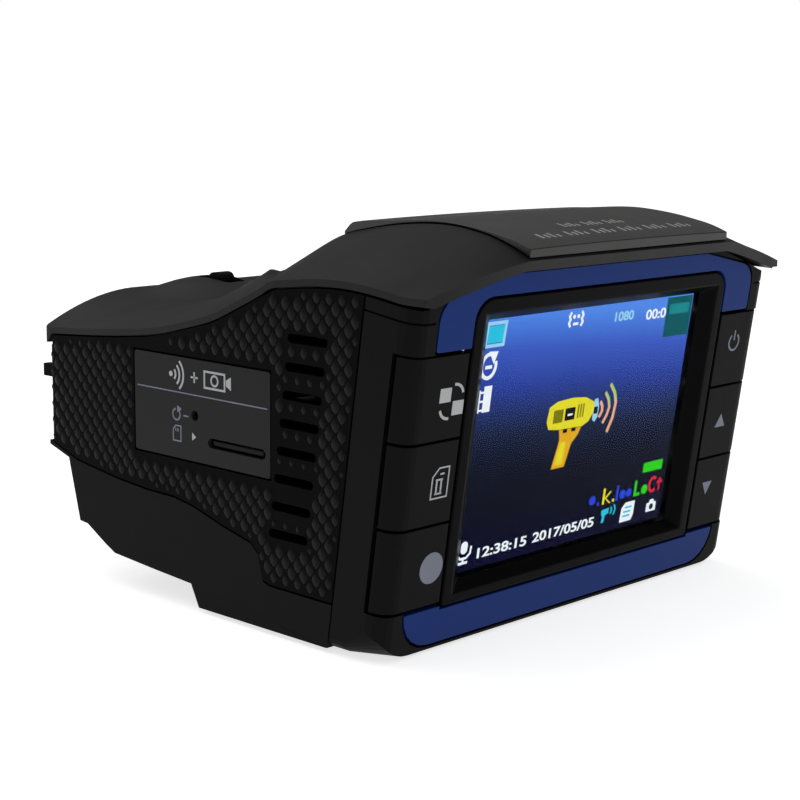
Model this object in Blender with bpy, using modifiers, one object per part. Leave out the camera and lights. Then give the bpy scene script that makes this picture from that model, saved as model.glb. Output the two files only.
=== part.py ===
"""Combined radar detector and dash camera, as an assembly of separate pieces.

Frame: +Z up, the screen faces -Y towards the driver, the nose points along +Y towards the
windscreen and +X is to the right of somebody looking at the screen. The origin is the middle of
the footprint, on the surface that the base pad stands on. Lengths are in metres.
"""

import math

import bmesh
import bpy
from mathutils import Matrix, Vector

MM = 0.001

# Housing
HALF_WIDTH = 41.25 * MM
WALL = 1.8 * MM
GAP = 0.3 * MM
LIP_Y = -43.7 * MM
FRONT_Y = 41.8 * MM
COVER_FRONT_Y = 42.8 * MM
COVER_WALL = 1.6 * MM
COVER_SKIRT = 1.0 * MM
COVER_FRONT_Z = 37.0 * MM
NOSE_CORNER = 1.0 * MM
HOOD_SETBACK = 2.5 * MM
PLATEAU_HALF = 24.0 * MM
NOSE_FLAT_HALF = 23.0 * MM

# The face leans over the driver's side: its local x is X, local y runs up it, local z points out
FACE_TILT = math.radians(8.0)
FACE_ORIGIN = (0.0, -36.7 * MM, 29.0 * MM)
FRAME_DEPTH = 9.4 * MM
FRAME_PLATE = 3.6 * MM
FRAME_BOTTOM = -28.7 * MM
FRAME_SHOULDER = 20.6 * MM
FRAME_TOP = 25.9 * MM
FRAME_CORNER = 3.0 * MM
FRAME_LOWER_CORNER = 6.0 * MM
FRAME_LOWER_FADE = 0.6 * MM
BASE_Z = 0.7 * MM
BASE_CORNER = 1.8 * MM

# Screen, a 2.4 inch module behind a cover glass at the foot of the bezel's sloping walls
ACTIVE_SIZE = (48.96 * MM, 36.72 * MM)
ACTIVE_CENTRE_Y = -1.0 * MM
MODULE_SIZE = (60.26 * MM, 42.72 * MM)
BEZEL_HALF_WIDTH = 29.35 * MM
BEZEL_TOP = 21.25 * MM
BEZEL_BOTTOM = -22.75 * MM
BEZEL_CORNER = 3.3 * MM
BEZEL_DEPTH = 1.7 * MM
BEZEL_SLOPE = (2.6 * MM, 1.5 * MM)

# Blue trims
TRIM_DEPTH = 1.5 * MM
TRIM_HALF_WIDTH = 36.6 * MM
TRIM_TOP = 24.4 * MM
TRIM_BOTTOM = -28.0 * MM
TRIM_CORNER = 5.6 * MM
TRIM_SHOULDER = 3.6 * MM

# Keys
KEY_INNER_X = 29.9 * MM
KEY_TOP = 14.05 * MM
KEY_PITCH = 12.1 * MM
KEY_SLIT = 0.4 * MM
KEY_DEPTH = 2.7 * MM
KEY_POST_X = 35.0 * MM
SWITCH_FRONT = -4.9 * MM
SWITCH_BACK = -7.5 * MM

# Camera barrel, which tilts about a cross axis
BARREL_CENTRE = Vector((-16.0 * MM, 28.5 * MM, 34.2 * MM))
BARREL_RADIUS = 9.0 * MM
BARREL_LENGTH = 16.0 * MM
LENS_OPENING = (6.9 * MM, 8.3 * MM)

# Memory card and reset hole, on the left side
CARD_Y = -4.05 * MM
CARD_Z = 26.3 * MM
CARD_SIZE = (15.0 * MM, 11.0 * MM, 0.8 * MM)
RESET_Y = 5.2 * MM
RESET_Z = 29.9 * MM

# Screw columns, as (x, y)
SCREW_PLACES = ((-36.4, -19.2), (36.4, -19.2), (-36.4, 15.6), (36.4, 15.6))
SCREW_SPLIT_Z = 14.0 * MM

# Side outlines, in mm as (y, z)
COVER_RIDGE = (
    (-43.7, 55.2), (-40.0, 56.8), (-35.4, 58.2), (-28.4, 59.1), (-20.0, 58.7), (-11.0, 57.2), (-7.4, 56.2),
    (-1.9, 53.6), (1.4, 51.7), (4.4, 50.2), (9.0, 47.9), (15.3, 45.7), (24.0, 44.2), (33.0, 44.1),
    (42.8, 44.5),
)
PLATE_TOP = (
    (-43.7, 56.6), (-40.8, 57.6), (-38.2, 58.2), (-32.7, 59.1), (-25.6, 59.6), (-17.2, 59.1), (-9.5, 58.4),
    (-7.8, 57.0),
)
COVER_EDGE = (
    (-43.7, 50.1), (-36.7, 50.2), (-33.4, 50.7), (-26.7, 51.3), (-20.7, 51.2), (-15.0, 50.6),
    (-11.4, 50.1), (-9.3, 49.0), (-5.2, 47.1), (1.1, 44.4), (7.7, 42.6), (14.4, 41.1), (26.2, 39.7),
    (42.8, 38.4),
)
PANEL_LOWER = (
    (41.8, 21.4), (37.6, 20.0), (34.3, 19.0), (24.3, 17.7), (16.7, 17.1), (10.2, 17.0), (5.8, 16.3),
    (-0.8, 14.5), (-7.1, 13.1), (-8.7, 11.7), (-9.7, 7.9), (-11.1, 7.5),
)
TUB_INSIDE = (
    (-40.0, 2.6), (3.8, 2.6), (5.6, 5.9), (15.0, 6.4), (24.9, 7.2), (31.0, 10.5), (32.6, 10.8),
    (35.0, 19.8), (39.8, 21.2), (44.0, 24.0), (44.0, 60.0), (-40.0, 60.0),
)
UNDERSIDE = (
    (4.7, 0.7), (6.5, 4.1), (15.3, 4.6), (25.2, 5.3), (27.6, 6.4), (32.1, 8.8), (34.1, 9.0),
    (36.8, 18.9), (41.8, 20.4),
)


# ---------------------------------------------------------------- helpers

def clear_scene():
    for item in list(bpy.data.objects):
        bpy.data.objects.remove(item, do_unlink=True)


def make_collection(name):
    found = bpy.data.collections.new(name)
    bpy.context.scene.collection.children.link(found)
    return found


def make_material(name, color, roughness=0.5, metallic=0.0, alpha=1.0):
    material = bpy.data.materials.new(name)
    material.use_nodes = True
    shader = material.node_tree.nodes["Principled BSDF"]
    shader.inputs["Base Color"].default_value = (*color, 1.0)
    shader.inputs["Roughness"].default_value = roughness
    shader.inputs["Metallic"].default_value = metallic
    shader.inputs["Alpha"].default_value = alpha
    return material


def to_object(name, shape, material=None, parent=None):
    """Turn a bmesh into an object: a part when it has a material, otherwise a cutter."""
    mesh = bpy.data.meshes.new(name)
    bmesh.ops.recalc_face_normals(shape, faces=shape.faces)
    shape.to_mesh(mesh)
    shape.free()
    found = bpy.data.objects.new(name, mesh)
    if material is None:
        CUTTERS.objects.link(found)
        found.hide_render = True
        found.display_type = "WIRE"
    else:
        PARTS.objects.link(found)
        mesh.materials.append(material)
    found.parent = parent
    return found


def box_shape(low, high):
    shape = bmesh.new()
    low, high = Vector(low), Vector(high)
    size = high - low
    place = Matrix.Translation((low + high) / 2) @ Matrix.Diagonal((*size, 1.0))
    bmesh.ops.create_cube(shape, size=1.0, matrix=place)
    return shape


def box(name, low, high, material=None, parent=None):
    return to_object(name, box_shape(low, high), material, parent)


AXIS_TURN = {
    "X": Matrix.Rotation(math.radians(90), 4, "Y"),
    "Y": Matrix.Rotation(math.radians(-90), 4, "X"),
    "Z": Matrix.Identity(4),
}


def cylinder(name, centre, radius, length, axis, material=None, parent=None, segments=24, tip=None):
    shape = bmesh.new()
    bmesh.ops.create_cone(
        shape, cap_ends=True, segments=segments, radius1=radius,
        radius2=radius if tip is None else tip, depth=length,
        matrix=Matrix.Translation(centre) @ AXIS_TURN[axis])
    return to_object(name, shape, material, parent)


def rounded(corners, radius, steps=5):
    """Outline through the corners with every corner turned into an arc of the radius given.

    A corner may carry its own radius as a third number.
    """
    points = []
    count = len(corners)
    for index in range(count):
        corner = Vector(corners[index][:2])
        own = corners[index][2] if len(corners[index]) > 2 else radius
        before = (Vector(corners[index - 1][:2]) - corner).normalized()
        after = (Vector(corners[(index + 1) % count][:2]) - corner).normalized()
        if own <= 0:
            points.append(corner)
            continue
        half = before.angle(after) / 2
        reach = own / math.tan(half)
        centre = corner + (before + after).normalized() * own / math.sin(half)
        start = corner + before * reach - centre
        turn = start.angle_signed(corner + after * reach - centre)
        for step in range(steps + 1):
            angle = -turn * step / steps
            points.append(centre + Matrix.Rotation(angle, 2) @ start)
    return points


def slab(name, outline, low, high, material=None, parent=None, across="Z"):
    """Extrude a flat outline between two heights.

    across Z keeps the outline in XY, across X reads its points as (y, z) and across Y as (x, z).
    """
    curve = bpy.data.curves.new(name, "CURVE")
    curve.dimensions = "2D"
    curve.fill_mode = "BOTH"
    curve.extrude = (high - low) / 2
    spline = curve.splines.new("POLY")
    spline.points.add(len(outline) - 1)
    for point, place in zip(spline.points, outline):
        point.co = (place[0], place[1], 0.0, 1.0)
    spline.use_cyclic_u = True
    drawn = bpy.data.objects.new(name + "_outline", curve)
    CUTTERS.objects.link(drawn)
    bpy.context.view_layer.update()
    solid = bpy.data.meshes.new_from_object(drawn.evaluated_get(bpy.context.evaluated_depsgraph_get()))
    bpy.data.objects.remove(drawn, do_unlink=True)
    shape = bmesh.new()
    shape.from_mesh(solid)
    bmesh.ops.remove_doubles(shape, verts=shape.verts, dist=0.001 * MM)
    middle = (low + high) / 2
    if across == "X":
        turn = Matrix(((0, 0, 1, middle), (1, 0, 0, 0), (0, 1, 0, 0), (0, 0, 0, 1)))
    elif across == "Y":
        turn = Matrix(((1, 0, 0, 0), (0, 0, -1, middle), (0, 1, 0, 0), (0, 0, 0, 1)))
    else:
        turn = Matrix.Translation((0, 0, middle))
    bmesh.ops.transform(shape, matrix=turn, verts=shape.verts)
    return to_object(name, shape, material, parent)


def boolean(target, other, operation="DIFFERENCE"):
    change = target.modifiers.new(other.name, "BOOLEAN")
    change.operation = operation
    change.solver = "EXACT"
    change.object = other


def bevel(target, width, segments=2, angle=40.0):
    change = target.modifiers.new("bevel", "BEVEL")
    change.width = width
    change.segments = segments
    change.limit_method = "ANGLE"
    change.angle_limit = math.radians(angle)
    change.harden_normals = False


def bevel_edges(target, width, segments, share):
    """Round edges by the share of the width that share(first, second) gives for their two ends."""
    mesh = target.data
    weights = mesh.attributes.new("bevel_weight_edge", "FLOAT", "EDGE")
    for edge in mesh.edges:
        first, second = (mesh.vertices[index].co for index in edge.vertices)
        weights.data[edge.index].value = share(first, second)
    change = target.modifiers.new("rounding", "BEVEL")
    change.width = width
    change.segments = segments
    change.limit_method = "WEIGHT"


def corner_cutter(name, corner, radius, low, high, across, parent=None):
    """Cutter that turns one outward corner of a section, at the place given, into an arc."""
    x, y = corner
    sign_x, sign_y = math.copysign(1, x), math.copysign(1, y)
    centre_x, centre_y = x - sign_x * radius, y - sign_y * radius
    points = [(x + sign_x * MM, centre_y)]
    for step in range(6):
        angle = math.radians(90) * step / 5
        points.append((centre_x + sign_x * radius * math.cos(angle),
                       centre_y + sign_y * radius * math.sin(angle)))
    points += [(centre_x, y + sign_y * MM), (x + sign_x * MM, y + sign_y * MM)]
    return slab(name, points, low, high, parent=parent, across=across)


def scaled(points):
    return [(y * MM, z * MM) for y, z in points]


def smooth_value(knots, place):
    """Height of a smooth curve through the knots (y, z), in mm."""
    count = len(knots)
    if place <= knots[0][0]:
        return knots[0][1]
    if place >= knots[-1][0]:
        return knots[-1][1]
    index = max(i for i in range(count - 1) if knots[i][0] <= place)
    (y0, z0), (y1, z1) = knots[index], knots[index + 1]

    def slope(i):
        low, high = max(i - 1, 0), min(i + 1, count - 1)
        return (knots[high][1] - knots[low][1]) / (knots[high][0] - knots[low][0])

    span = y1 - y0
    t = (place - y0) / span
    return (
        z0 * (1 + 2 * t) * (1 - t) ** 2 + slope(index) * span * t * (1 - t) ** 2
        + z1 * t * t * (3 - 2 * t) + slope(index + 1) * span * t * t * (t - 1))


def smooth_points(knots, start, end, count):
    """Points in metres along a smooth curve, from one y to another."""
    found = []
    for step in range(count + 1):
        place = start + (end - start) * step / count
        found.append((place * MM, smooth_value(knots, place) * MM))
    return found


# ---------------------------------------------------------------- housing

def smoothstep(value):
    value = min(max(value, 0.0), 1.0)
    return value * value * (3 - 2 * value)


def nose_half_width(y):
    """Half the nose's width, which rounds in at the front corners."""
    past = y - (COVER_FRONT_Y - NOSE_CORNER)
    if past <= 0:
        return HALF_WIDTH
    return HALF_WIDTH - NOSE_CORNER + math.sqrt(max(NOSE_CORNER ** 2 - past ** 2, 0.0))


def cover_height(x, y):
    """Outer surface of the top cover: a hump with sloping flanks over the screen, then a nose."""
    ridge = smooth_value(COVER_RIDGE, y / MM) * MM
    edge = smooth_value(COVER_EDGE, y / MM) * MM + COVER_SKIRT
    flank = min(max((abs(x) - PLATEAU_HALF) / (HALF_WIDTH - PLATEAU_HALF), 0.0), 1.0)
    hump = ridge + (edge - ridge) * flank
    round_in = min(max((abs(x) - NOSE_FLAT_HALF) / (HALF_WIDTH - NOSE_FLAT_HALF), 0.0), 1.0)
    nose = ridge + (edge - ridge) * round_in ** 1.9
    crease_y = -11 * MM + min(HALF_WIDTH - abs(x), 18 * MM) * 0.94
    blend = smoothstep((y - crease_y + 1.5 * MM) / (3 * MM))
    away_x = (x - BARREL_CENTRE.x) / (10.5 * MM)
    away_y = (y - BARREL_CENTRE.y - 1.5 * MM) / (12.5 * MM)
    mound = 2.9 * MM * max(1 - away_x ** 2 - away_y ** 2, 0.0) ** 1.15
    return hump * (1 - blend) + nose * blend + mound


COVER_STATIONS = (
    -43.7, -41.5, -38.5, -34.0, -28.0, -20.0, -14.0, -11.0, -8.5, -6.0, -3.5, -1.0, 1.5, 4.5, 8.0, 12.0,
    17.0, 22.0, 27.0, 32.0, 37.0, 40.8, 42.2, 42.8,
)
COVER_COLUMNS = (0.0, 7.0, 12.0, 16.0, 20.0, 24.0, 28.5, 33.0, 37.0, 39.6, 41.25)


def setback(x, y):
    """How far the hood's lip steps back towards its two outer corners."""
    flank = max((abs(x) - PLATEAU_HALF) / (HALF_WIDTH - PLATEAU_HALF), 0.0)
    return HOOD_SETBACK * flank * max((-34 * MM - y) / (-34 * MM - LIP_Y), 0.0)


def surface_grid(columns, stations, height):
    """Open sheet over a grid of x columns and y stations, in mm."""
    shape = bmesh.new()
    rows = []
    for station in stations:
        y = station * MM
        squeeze = nose_half_width(y) / HALF_WIDTH
        row = []
        for column in columns:
            x = column * MM * squeeze
            place = y + setback(x, y)
            row.append(shape.verts.new((x, place, height(x, place))))
        rows.append(row)
    for lower, upper in zip(rows, rows[1:]):
        for index in range(len(lower) - 1):
            shape.faces.new((lower[index], lower[index + 1], upper[index + 1], upper[index]))
    return shape


def solidify(target, thickness):
    change = target.modifiers.new("shell", "SOLIDIFY")
    change.thickness = thickness
    change.offset = -1.0
    change.use_even_offset = True


def make_top_cover(material):
    columns = [-c for c in reversed(COVER_COLUMNS[1:])] + list(COVER_COLUMNS)
    shape = surface_grid(columns, COVER_STATIONS, cover_height)
    rim = [e for e in shape.edges if e.is_boundary and not (
        len({v.co.x for v in e.verts}) == 2 and max(v.co.y for v in e.verts) < -40 * MM)]
    grown = bmesh.ops.extrude_edge_only(shape, edges=rim)
    for vert in [v for v in grown["geom"] if isinstance(v, bmesh.types.BMVert)]:
        front = smoothstep((vert.co.y - 40.7 * MM) / (1.4 * MM))
        edge = smooth_value(COVER_EDGE, vert.co.y / MM) * MM
        vert.co.z = edge * (1 - front) + COVER_FRONT_Z * front
    cover = to_object("top_cover", shape, material)
    solidify(cover, COVER_WALL)
    for index, (x, y) in enumerate(SCREW_PLACES):
        top = cover_height(x * MM, y * MM) - 1.2 * MM
        low = SCREW_SPLIT_Z + GAP
        post = cylinder(f"cover_post_{index}", (x * MM, y * MM, (top + low) / 2), 2.3 * MM,
                        top - low, "Z", segments=16)
        boolean(cover, post, "UNION")
        hole = cylinder(f"cover_hole_{index}", (x * MM, y * MM, 19.0 * MM), 1.3 * MM,
                        12.0 * MM, "Z", segments=12)
        boolean(cover, hole)
    boolean(cover, lens_opening_cutter("cover_lens_opening"))
    slot = slab("thumb_slot", rounded([(-18.0 * MM, 24.6 * MM), (-14.0 * MM, 24.6 * MM),
                (-14.0 * MM, 32.4 * MM), (-18.0 * MM, 32.4 * MM)], 1.9 * MM, 4),
                42.0 * MM, 55.0 * MM)
    boolean(cover, slot)
    return cover


def lens_opening_cutter(name):
    """Upright round-ended opening that the camera lens looks through as it tilts."""
    half_width, half_height = LENS_OPENING
    straight = half_height - half_width
    points = []
    for step in range(33):
        angle = 2 * math.pi * step / 32
        lift = straight if math.sin(angle) >= 0 else -straight
        points.append((BARREL_CENTRE.x + half_width * math.cos(angle),
                       BARREL_CENTRE.z + half_width * math.sin(angle) + lift))
    return slab(name, points[:-1], FRONT_Y - 5.0 * MM, FRONT_Y + 5.0 * MM, across="Y")


def make_top_plate(material):
    """Raised plate on the hump, following its slope down to the hood's lip."""
    half = PLATEAU_HALF - 0.7 * MM

    def height(x, y):
        crown = 0.2 * MM * (1 - (x / half) ** 2)
        return smooth_value(PLATE_TOP, y / MM) * MM + crown

    columns = [half / MM * step / 6 for step in range(-6, 7)]
    stations = (-43.3, -41.0, -38.5, -36.0, -33.0, -29.0, -25.0, -20.0, -15.0, -11.5, -9.5, -7.8)
    shape = surface_grid(columns, stations, height)
    bmesh.ops.recalc_face_normals(shape, faces=shape.faces)
    lift = bmesh.ops.extrude_face_region(shape, geom=shape.faces[:])
    for vert in [v for v in lift["geom"] if isinstance(v, bmesh.types.BMVert)]:
        vert.co.z = smooth_value(COVER_RIDGE, vert.co.y / MM) * MM + GAP
    plate = to_object("top_plate", shape, material)
    bevel(plate, 0.35 * MM, 1, 60)
    return plate


def frame_seam_y(z, inset):
    """World y of the plane behind the face at the depth given, at a height z."""
    return FACE_ORIGIN[1] + (inset - (z - FACE_ORIGIN[2]) * math.sin(FACE_TILT)) / math.cos(FACE_TILT)


def panel_outline():
    """Side panel's outline as (y, z): cover seam, front edge, lower curve, slanted rear seam."""
    behind = FRAME_DEPTH + GAP
    top_rear = frame_seam_y(50.6 * MM, behind)
    top = smooth_points(COVER_EDGE, top_rear / MM, 40.6, 24)
    top = [(y, z - GAP) for y, z in top]
    top += scaled([(40.6, 36.7), (41.8, 36.7)])
    lower = scaled(PANEL_LOWER)
    foot_z = 7.4 * MM
    foot = (frame_seam_y(foot_z, behind), foot_z)
    return top + lower + [foot]


def make_side_panel(side, material):
    """Textured side panel with eight vent slots; the left one also seats the nameplate."""
    name = "side_panel_left" if side < 0 else "side_panel_right"
    outer, inner = side * HALF_WIDTH, side * (HALF_WIDTH - WALL)
    panel = slab(name, panel_outline(), min(outer, inner), max(outer, inner), material, across="X")
    boolean(panel, corner_cutter(f"{name}_corner", (outer, FRONT_Y), 1.5 * MM, 18 * MM, 42 * MM, "Z"))
    nub_x = sorted((side * (HALF_WIDTH - 0.4 * MM), side * (HALF_WIDTH - 1.7 * MM)))
    nub = box(f"{name}_nub", (nub_x[0], 40.0 * MM, 31.4 * MM), (nub_x[1], 43.7 * MM, 33.4 * MM))
    boolean(panel, nub, "UNION")
    for row in range(8):
        z = 43.6 * MM - row * 4.05 * MM
        start = frame_seam_y(z, 15.6 * MM)
        cutter = slot_cutter(f"{name}_slot_{row}", side, start + 4.0 * MM, z, 8.0 * MM, 1.3 * MM)
        boolean(panel, cutter)
    if side < 0:
        boolean(panel, box("nameplate_pocket", (-HALF_WIDTH - 1 * MM, -11.6 * MM, 22.7 * MM),
                           (-HALF_WIDTH + 1.0 * MM, 19.6 * MM, 38.6 * MM)))
        boolean(panel, slot_cutter("card_way_panel", side, CARD_Y, CARD_Z, 13.2 * MM, 1.9 * MM))
        boolean(panel, cylinder("reset_way_panel", (-HALF_WIDTH, RESET_Y, RESET_Z), 1.0 * MM,
                                6 * MM, "X", segments=12))
    else:
        boolean(panel, box("power_way", (36 * MM, -4.7 * MM, 25.2 * MM),
                           (44 * MM, 3.7 * MM, 29.6 * MM)))
    return panel


def slot_cutter(name, side, y, z, length, height):
    """Cutter for a round-ended slot along Y through a side wall."""
    half, radius = length / 2, height / 2
    corners = [(y - half, z - radius), (y + half, z - radius), (y + half, z + radius), (y - half, z + radius)]
    middle = side * HALF_WIDTH
    return slab(name, rounded(corners, radius * 0.98, 3), middle - 4 * MM, middle + 4 * MM, across="X")


def make_bottom_cover(material):
    """Open tub: floor, lower side walls up to the side panels, chin and the nose's underside."""
    behind = FRAME_DEPTH + GAP
    seam_foot = (frame_seam_y(BASE_Z, behind), BASE_Z)
    seam_top = (frame_seam_y(7.1 * MM, behind), 7.1 * MM)
    edge = [(y, z - GAP) for y, z in scaled(PANEL_LOWER)]
    outline = [seam_foot] + scaled(UNDERSIDE) + edge + [seam_top]
    cover = slab("bottom_cover", outline, -HALF_WIDTH, HALF_WIDTH, material, across="X")
    low_places = [seam_foot] + scaled(UNDERSIDE)

    def along_base(first, second):
        beside = abs(first.x - second.x) < 0.1 * MM
        low = all(min(math.hypot(v.y - y, v.z - z) for y, z in low_places) < 0.01 * MM
                  for v in (first, second))
        return 1.0 if beside and low else 0.0

    bevel_edges(cover, BASE_CORNER, 3, along_base)
    inside = scaled(TUB_INSIDE)
    boolean(cover, slab("tub_inside", inside, -HALF_WIDTH + WALL, HALF_WIDTH - WALL, across="X"))
    for index, (x, y) in enumerate(SCREW_PLACES):
        low = 2.0 * MM if y < 0 else 5.4 * MM
        post = cylinder(f"tub_post_{index}", (x * MM, y * MM, (low + SCREW_SPLIT_Z) / 2), 2.6 * MM,
                        SCREW_SPLIT_Z - low, "Z", segments=16)
        boolean(cover, post, "UNION")
        hole = cylinder(f"tub_hole_{index}", (x * MM, y * MM, 10 * MM), 1.3 * MM, 24 * MM, "Z",
                        segments=12)
        boolean(cover, hole)
        head = cylinder(f"tub_head_{index}", (x * MM, y * MM, 3.0 * MM), 2.1 * MM, 9.0 * MM, "Z",
                        segments=16)
        boolean(cover, head)
    boolean(cover, slab("pad_seat", rounded(pad_corners(GAP), 3.0 * MM, 4), -2 * MM, 1.7 * MM))
    return cover


def make_front_panel(material):
    """Flat nose front with the camera opening and the window for radar and laser."""
    panel = slab("front_panel", rounded([(-39.1 * MM, 21.6 * MM), (39.1 * MM, 21.6 * MM),
                 (39.1 * MM, 36.7 * MM), (-39.1 * MM, 36.7 * MM)], 0.8 * MM, 2),
                 FRONT_Y - WALL, FRONT_Y, material, across="Y")
    boolean(panel, lens_opening_cutter("panel_lens_opening"))
    boolean(panel, box("window_way", (-3.0 * MM, 38 * MM, 23.9 * MM), (36.2 * MM, 44 * MM, 35.3 * MM)))
    return panel


def make_rear_frame(material, face):
    """Deep frame around the screen: sides, shoulders and a plate with the trims' pockets."""
    half = HALF_WIDTH
    shoulder = (39.2 * MM, FRAME_SHOULDER + 0.1 * MM)
    peak = (24.0 * MM, FRAME_TOP)
    outline = mirrored([(half, FRAME_BOTTOM), (half, FRAME_SHOULDER), shoulder, peak])
    frame = slab("rear_frame", outline, -FRAME_DEPTH, 0, material, face)
    for vert in frame.data.vertices:
        if vert.co.y < FRAME_BOTTOM + 0.1 * MM:
            vert.co.y += vert.co.z * math.tan(FACE_TILT)

    def corner_share(first, second):
        if min(abs(first.x), abs(second.x)) < half - 0.01 * MM or first.x * second.x < 0:
            return 0.0
        if min(first.z, second.z) > -0.01 * MM:
            return 1.0
        if max(first.y, second.y) < FRAME_BOTTOM + 0.1 * MM:
            return BASE_CORNER / FRAME_CORNER
        return 0.0

    bevel_edges(frame, FRAME_CORNER, 4, corner_share)
    for side in (-1, 1):
        boolean(frame, lower_corner_cutter(f"frame_corner_{side}", side, face))
    inside = mirrored([(34.6 * MM, -27.0 * MM), (39.2 * MM, -22.4 * MM), (39.2 * MM, 18.6 * MM),
                       (38.4 * MM, 18.9 * MM), (23.4 * MM, 24.0 * MM)])
    boolean(frame, slab("frame_cavity", inside, -20 * MM, -FRAME_PLATE, parent=face))
    boolean(frame, slab("frame_window", rounded(bezel_corners(GAP), BEZEL_CORNER), -12 * MM, 2 * MM,
                        parent=face))
    boolean(frame, slab("upper_pocket", upper_trim_outline(GAP), -TRIM_DEPTH - GAP, 2 * MM,
                        parent=face))
    boolean(frame, slab("lower_pocket", lower_trim_outline(GAP), -TRIM_DEPTH - GAP, 2 * MM,
                        parent=face))
    low = KEY_TOP - 3 * KEY_PITCH
    for side in (-1, 1):
        boolean(frame, parting_groove(f"frame_groove_{side}", side, face))
        across = sorted((side * 26 * MM, side * 37.6 * MM))
        boolean(frame, box(f"key_way_{side}", (across[0], low, -6 * MM),
                           (across[1], KEY_TOP + GAP, 2 * MM), parent=face))
        across = sorted((side * 37 * MM, side * 45 * MM))
        boolean(frame, box(f"key_side_way_{side}", (across[0], low, -KEY_DEPTH - 0.8 * MM),
                           (across[1], KEY_TOP + GAP, 2 * MM), parent=face))
    return frame


def lower_corner_cutter(name, side, face):
    """Cutter that rounds one lower corner of the face and fades out towards the seam."""
    shape = bmesh.new()
    rings = []
    for depth in (2.0 * MM, -FRAME_DEPTH - 0.6 * MM):
        radius = FRAME_LOWER_CORNER + (FRAME_LOWER_CORNER - FRAME_LOWER_FADE) * depth / FRAME_DEPTH
        low = FRAME_BOTTOM + depth * math.tan(FACE_TILT)
        points = [(HALF_WIDTH + 3 * MM, low + radius)]
        for step in range(9):
            angle = math.radians(90) * step / 8
            points.append((HALF_WIDTH - radius + radius * math.cos(angle),
                           low + radius - radius * math.sin(angle)))
        points += [(HALF_WIDTH - radius, low - 3 * MM), (HALF_WIDTH + 3 * MM, low - 3 * MM)]
        rings.append([shape.verts.new((side * x, y, depth)) for x, y in points])
    shape.faces.new(rings[0])
    shape.faces.new(rings[1])
    for index in range(len(rings[0])):
        after = (index + 1) % len(rings[0])
        shape.faces.new((rings[0][index], rings[0][after], rings[1][after], rings[1][index]))
    bmesh.ops.recalc_face_normals(shape, faces=shape.faces)
    return to_object(name, shape, parent=face)


def parting_groove(name, side, face):
    """Cutter for the fine line that runs round the frame's corner under the hood."""
    depth = 0.35 * MM
    radius = FRAME_CORNER - depth
    centre = HALF_WIDTH - FRAME_CORNER
    points = [(HALF_WIDTH - depth, -12 * MM)]
    for step in range(7):
        angle = math.radians(90) * step / 6
        points.append((centre + radius * math.cos(angle), -FRAME_CORNER + radius * math.sin(angle)))
    points += [(37.4 * MM, -depth), (37.4 * MM, 2 * MM), (45 * MM, 2 * MM), (45 * MM, -12 * MM)]
    points = [(side * x, z) for x, z in points]
    return slab(name, points, 18.6 * MM, 18.9 * MM, parent=face, across="Y")


# ---------------------------------------------------------------- screen side

def bezel_corners(grow=0.0):
    half = BEZEL_HALF_WIDTH + grow
    bottom, top = BEZEL_BOTTOM - grow, BEZEL_TOP + grow
    return [(-half, bottom, 0.6 * MM), (half, bottom, 0.6 * MM), (half, top), (-half, top)]


def make_bezel(material, face):
    bezel = slab("screen_bezel", rounded(bezel_corners(), BEZEL_CORNER), -BEZEL_DEPTH, 0, material, face)
    half_x, half_y = ACTIVE_SIZE[0] / 2 + 0.3 * MM, ACTIVE_SIZE[1] / 2 + 0.3 * MM
    shape = box_shape((-half_x, ACTIVE_CENTRE_Y - half_y, -6 * MM), (half_x, ACTIVE_CENTRE_Y + half_y, -BEZEL_DEPTH))
    top = [face for face in shape.faces if face.normal.z > 0.5]
    lifted = bmesh.ops.extrude_face_region(shape, geom=top)
    bmesh.ops.delete(shape, geom=top, context="FACES_ONLY")
    for vert in [v for v in lifted["geom"] if isinstance(v, bmesh.types.BMVert)]:
        vert.co.x += math.copysign(2 * BEZEL_SLOPE[0], vert.co.x)
        vert.co.y += math.copysign(2 * BEZEL_SLOPE[1], vert.co.y - ACTIVE_CENTRE_Y)
        vert.co.z = BEZEL_DEPTH
    boolean(bezel, to_object("bezel_opening", shape, parent=face))
    return bezel


def mirrored(right_half):
    """Closed outline from its right half, listed from the bottom middle to the top middle."""
    return list(right_half) + [(-x, y) for x, y in reversed(right_half)]


def upper_trim_outline(grow=0.0):
    """Arch over the bezel, with both ends running down to the keys."""
    outer, top = TRIM_HALF_WIDTH + grow, TRIM_TOP + grow
    inner, under = BEZEL_HALF_WIDTH + GAP - grow, BEZEL_TOP + GAP - grow
    end = KEY_TOP + 2 * GAP - grow
    corners = [(-inner, end, 0), (-inner, under, BEZEL_CORNER), (inner, under, BEZEL_CORNER),
               (inner, end, 0), (outer, end, 0.5 * MM), (outer, top - 2.8 * MM, TRIM_SHOULDER),
               (23 * MM, top, 3 * MM), (-23 * MM, top, 3 * MM),
               (-outer, top - 2.8 * MM, TRIM_SHOULDER), (-outer, end, 0.5 * MM)]
    return rounded(corners, 0)


def lower_trim_outline(grow=0.0):
    """Bar under the bezel with rounded lower corners."""
    outer, bottom = TRIM_HALF_WIDTH + 0.25 * MM + grow, TRIM_BOTTOM - grow
    end = KEY_TOP - 3 * KEY_PITCH - GAP + grow
    inner, top = BEZEL_HALF_WIDTH + GAP, BEZEL_BOTTOM - GAP + grow
    corners = [(-outer, end, 0.3 * MM), (-outer, bottom, TRIM_CORNER), (outer, bottom, TRIM_CORNER),
               (outer, end, 0.3 * MM), (inner, end, 0), (inner, top, 0), (-inner, top, 0), (-inner, end, 0)]
    return rounded(corners, 0)


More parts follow.
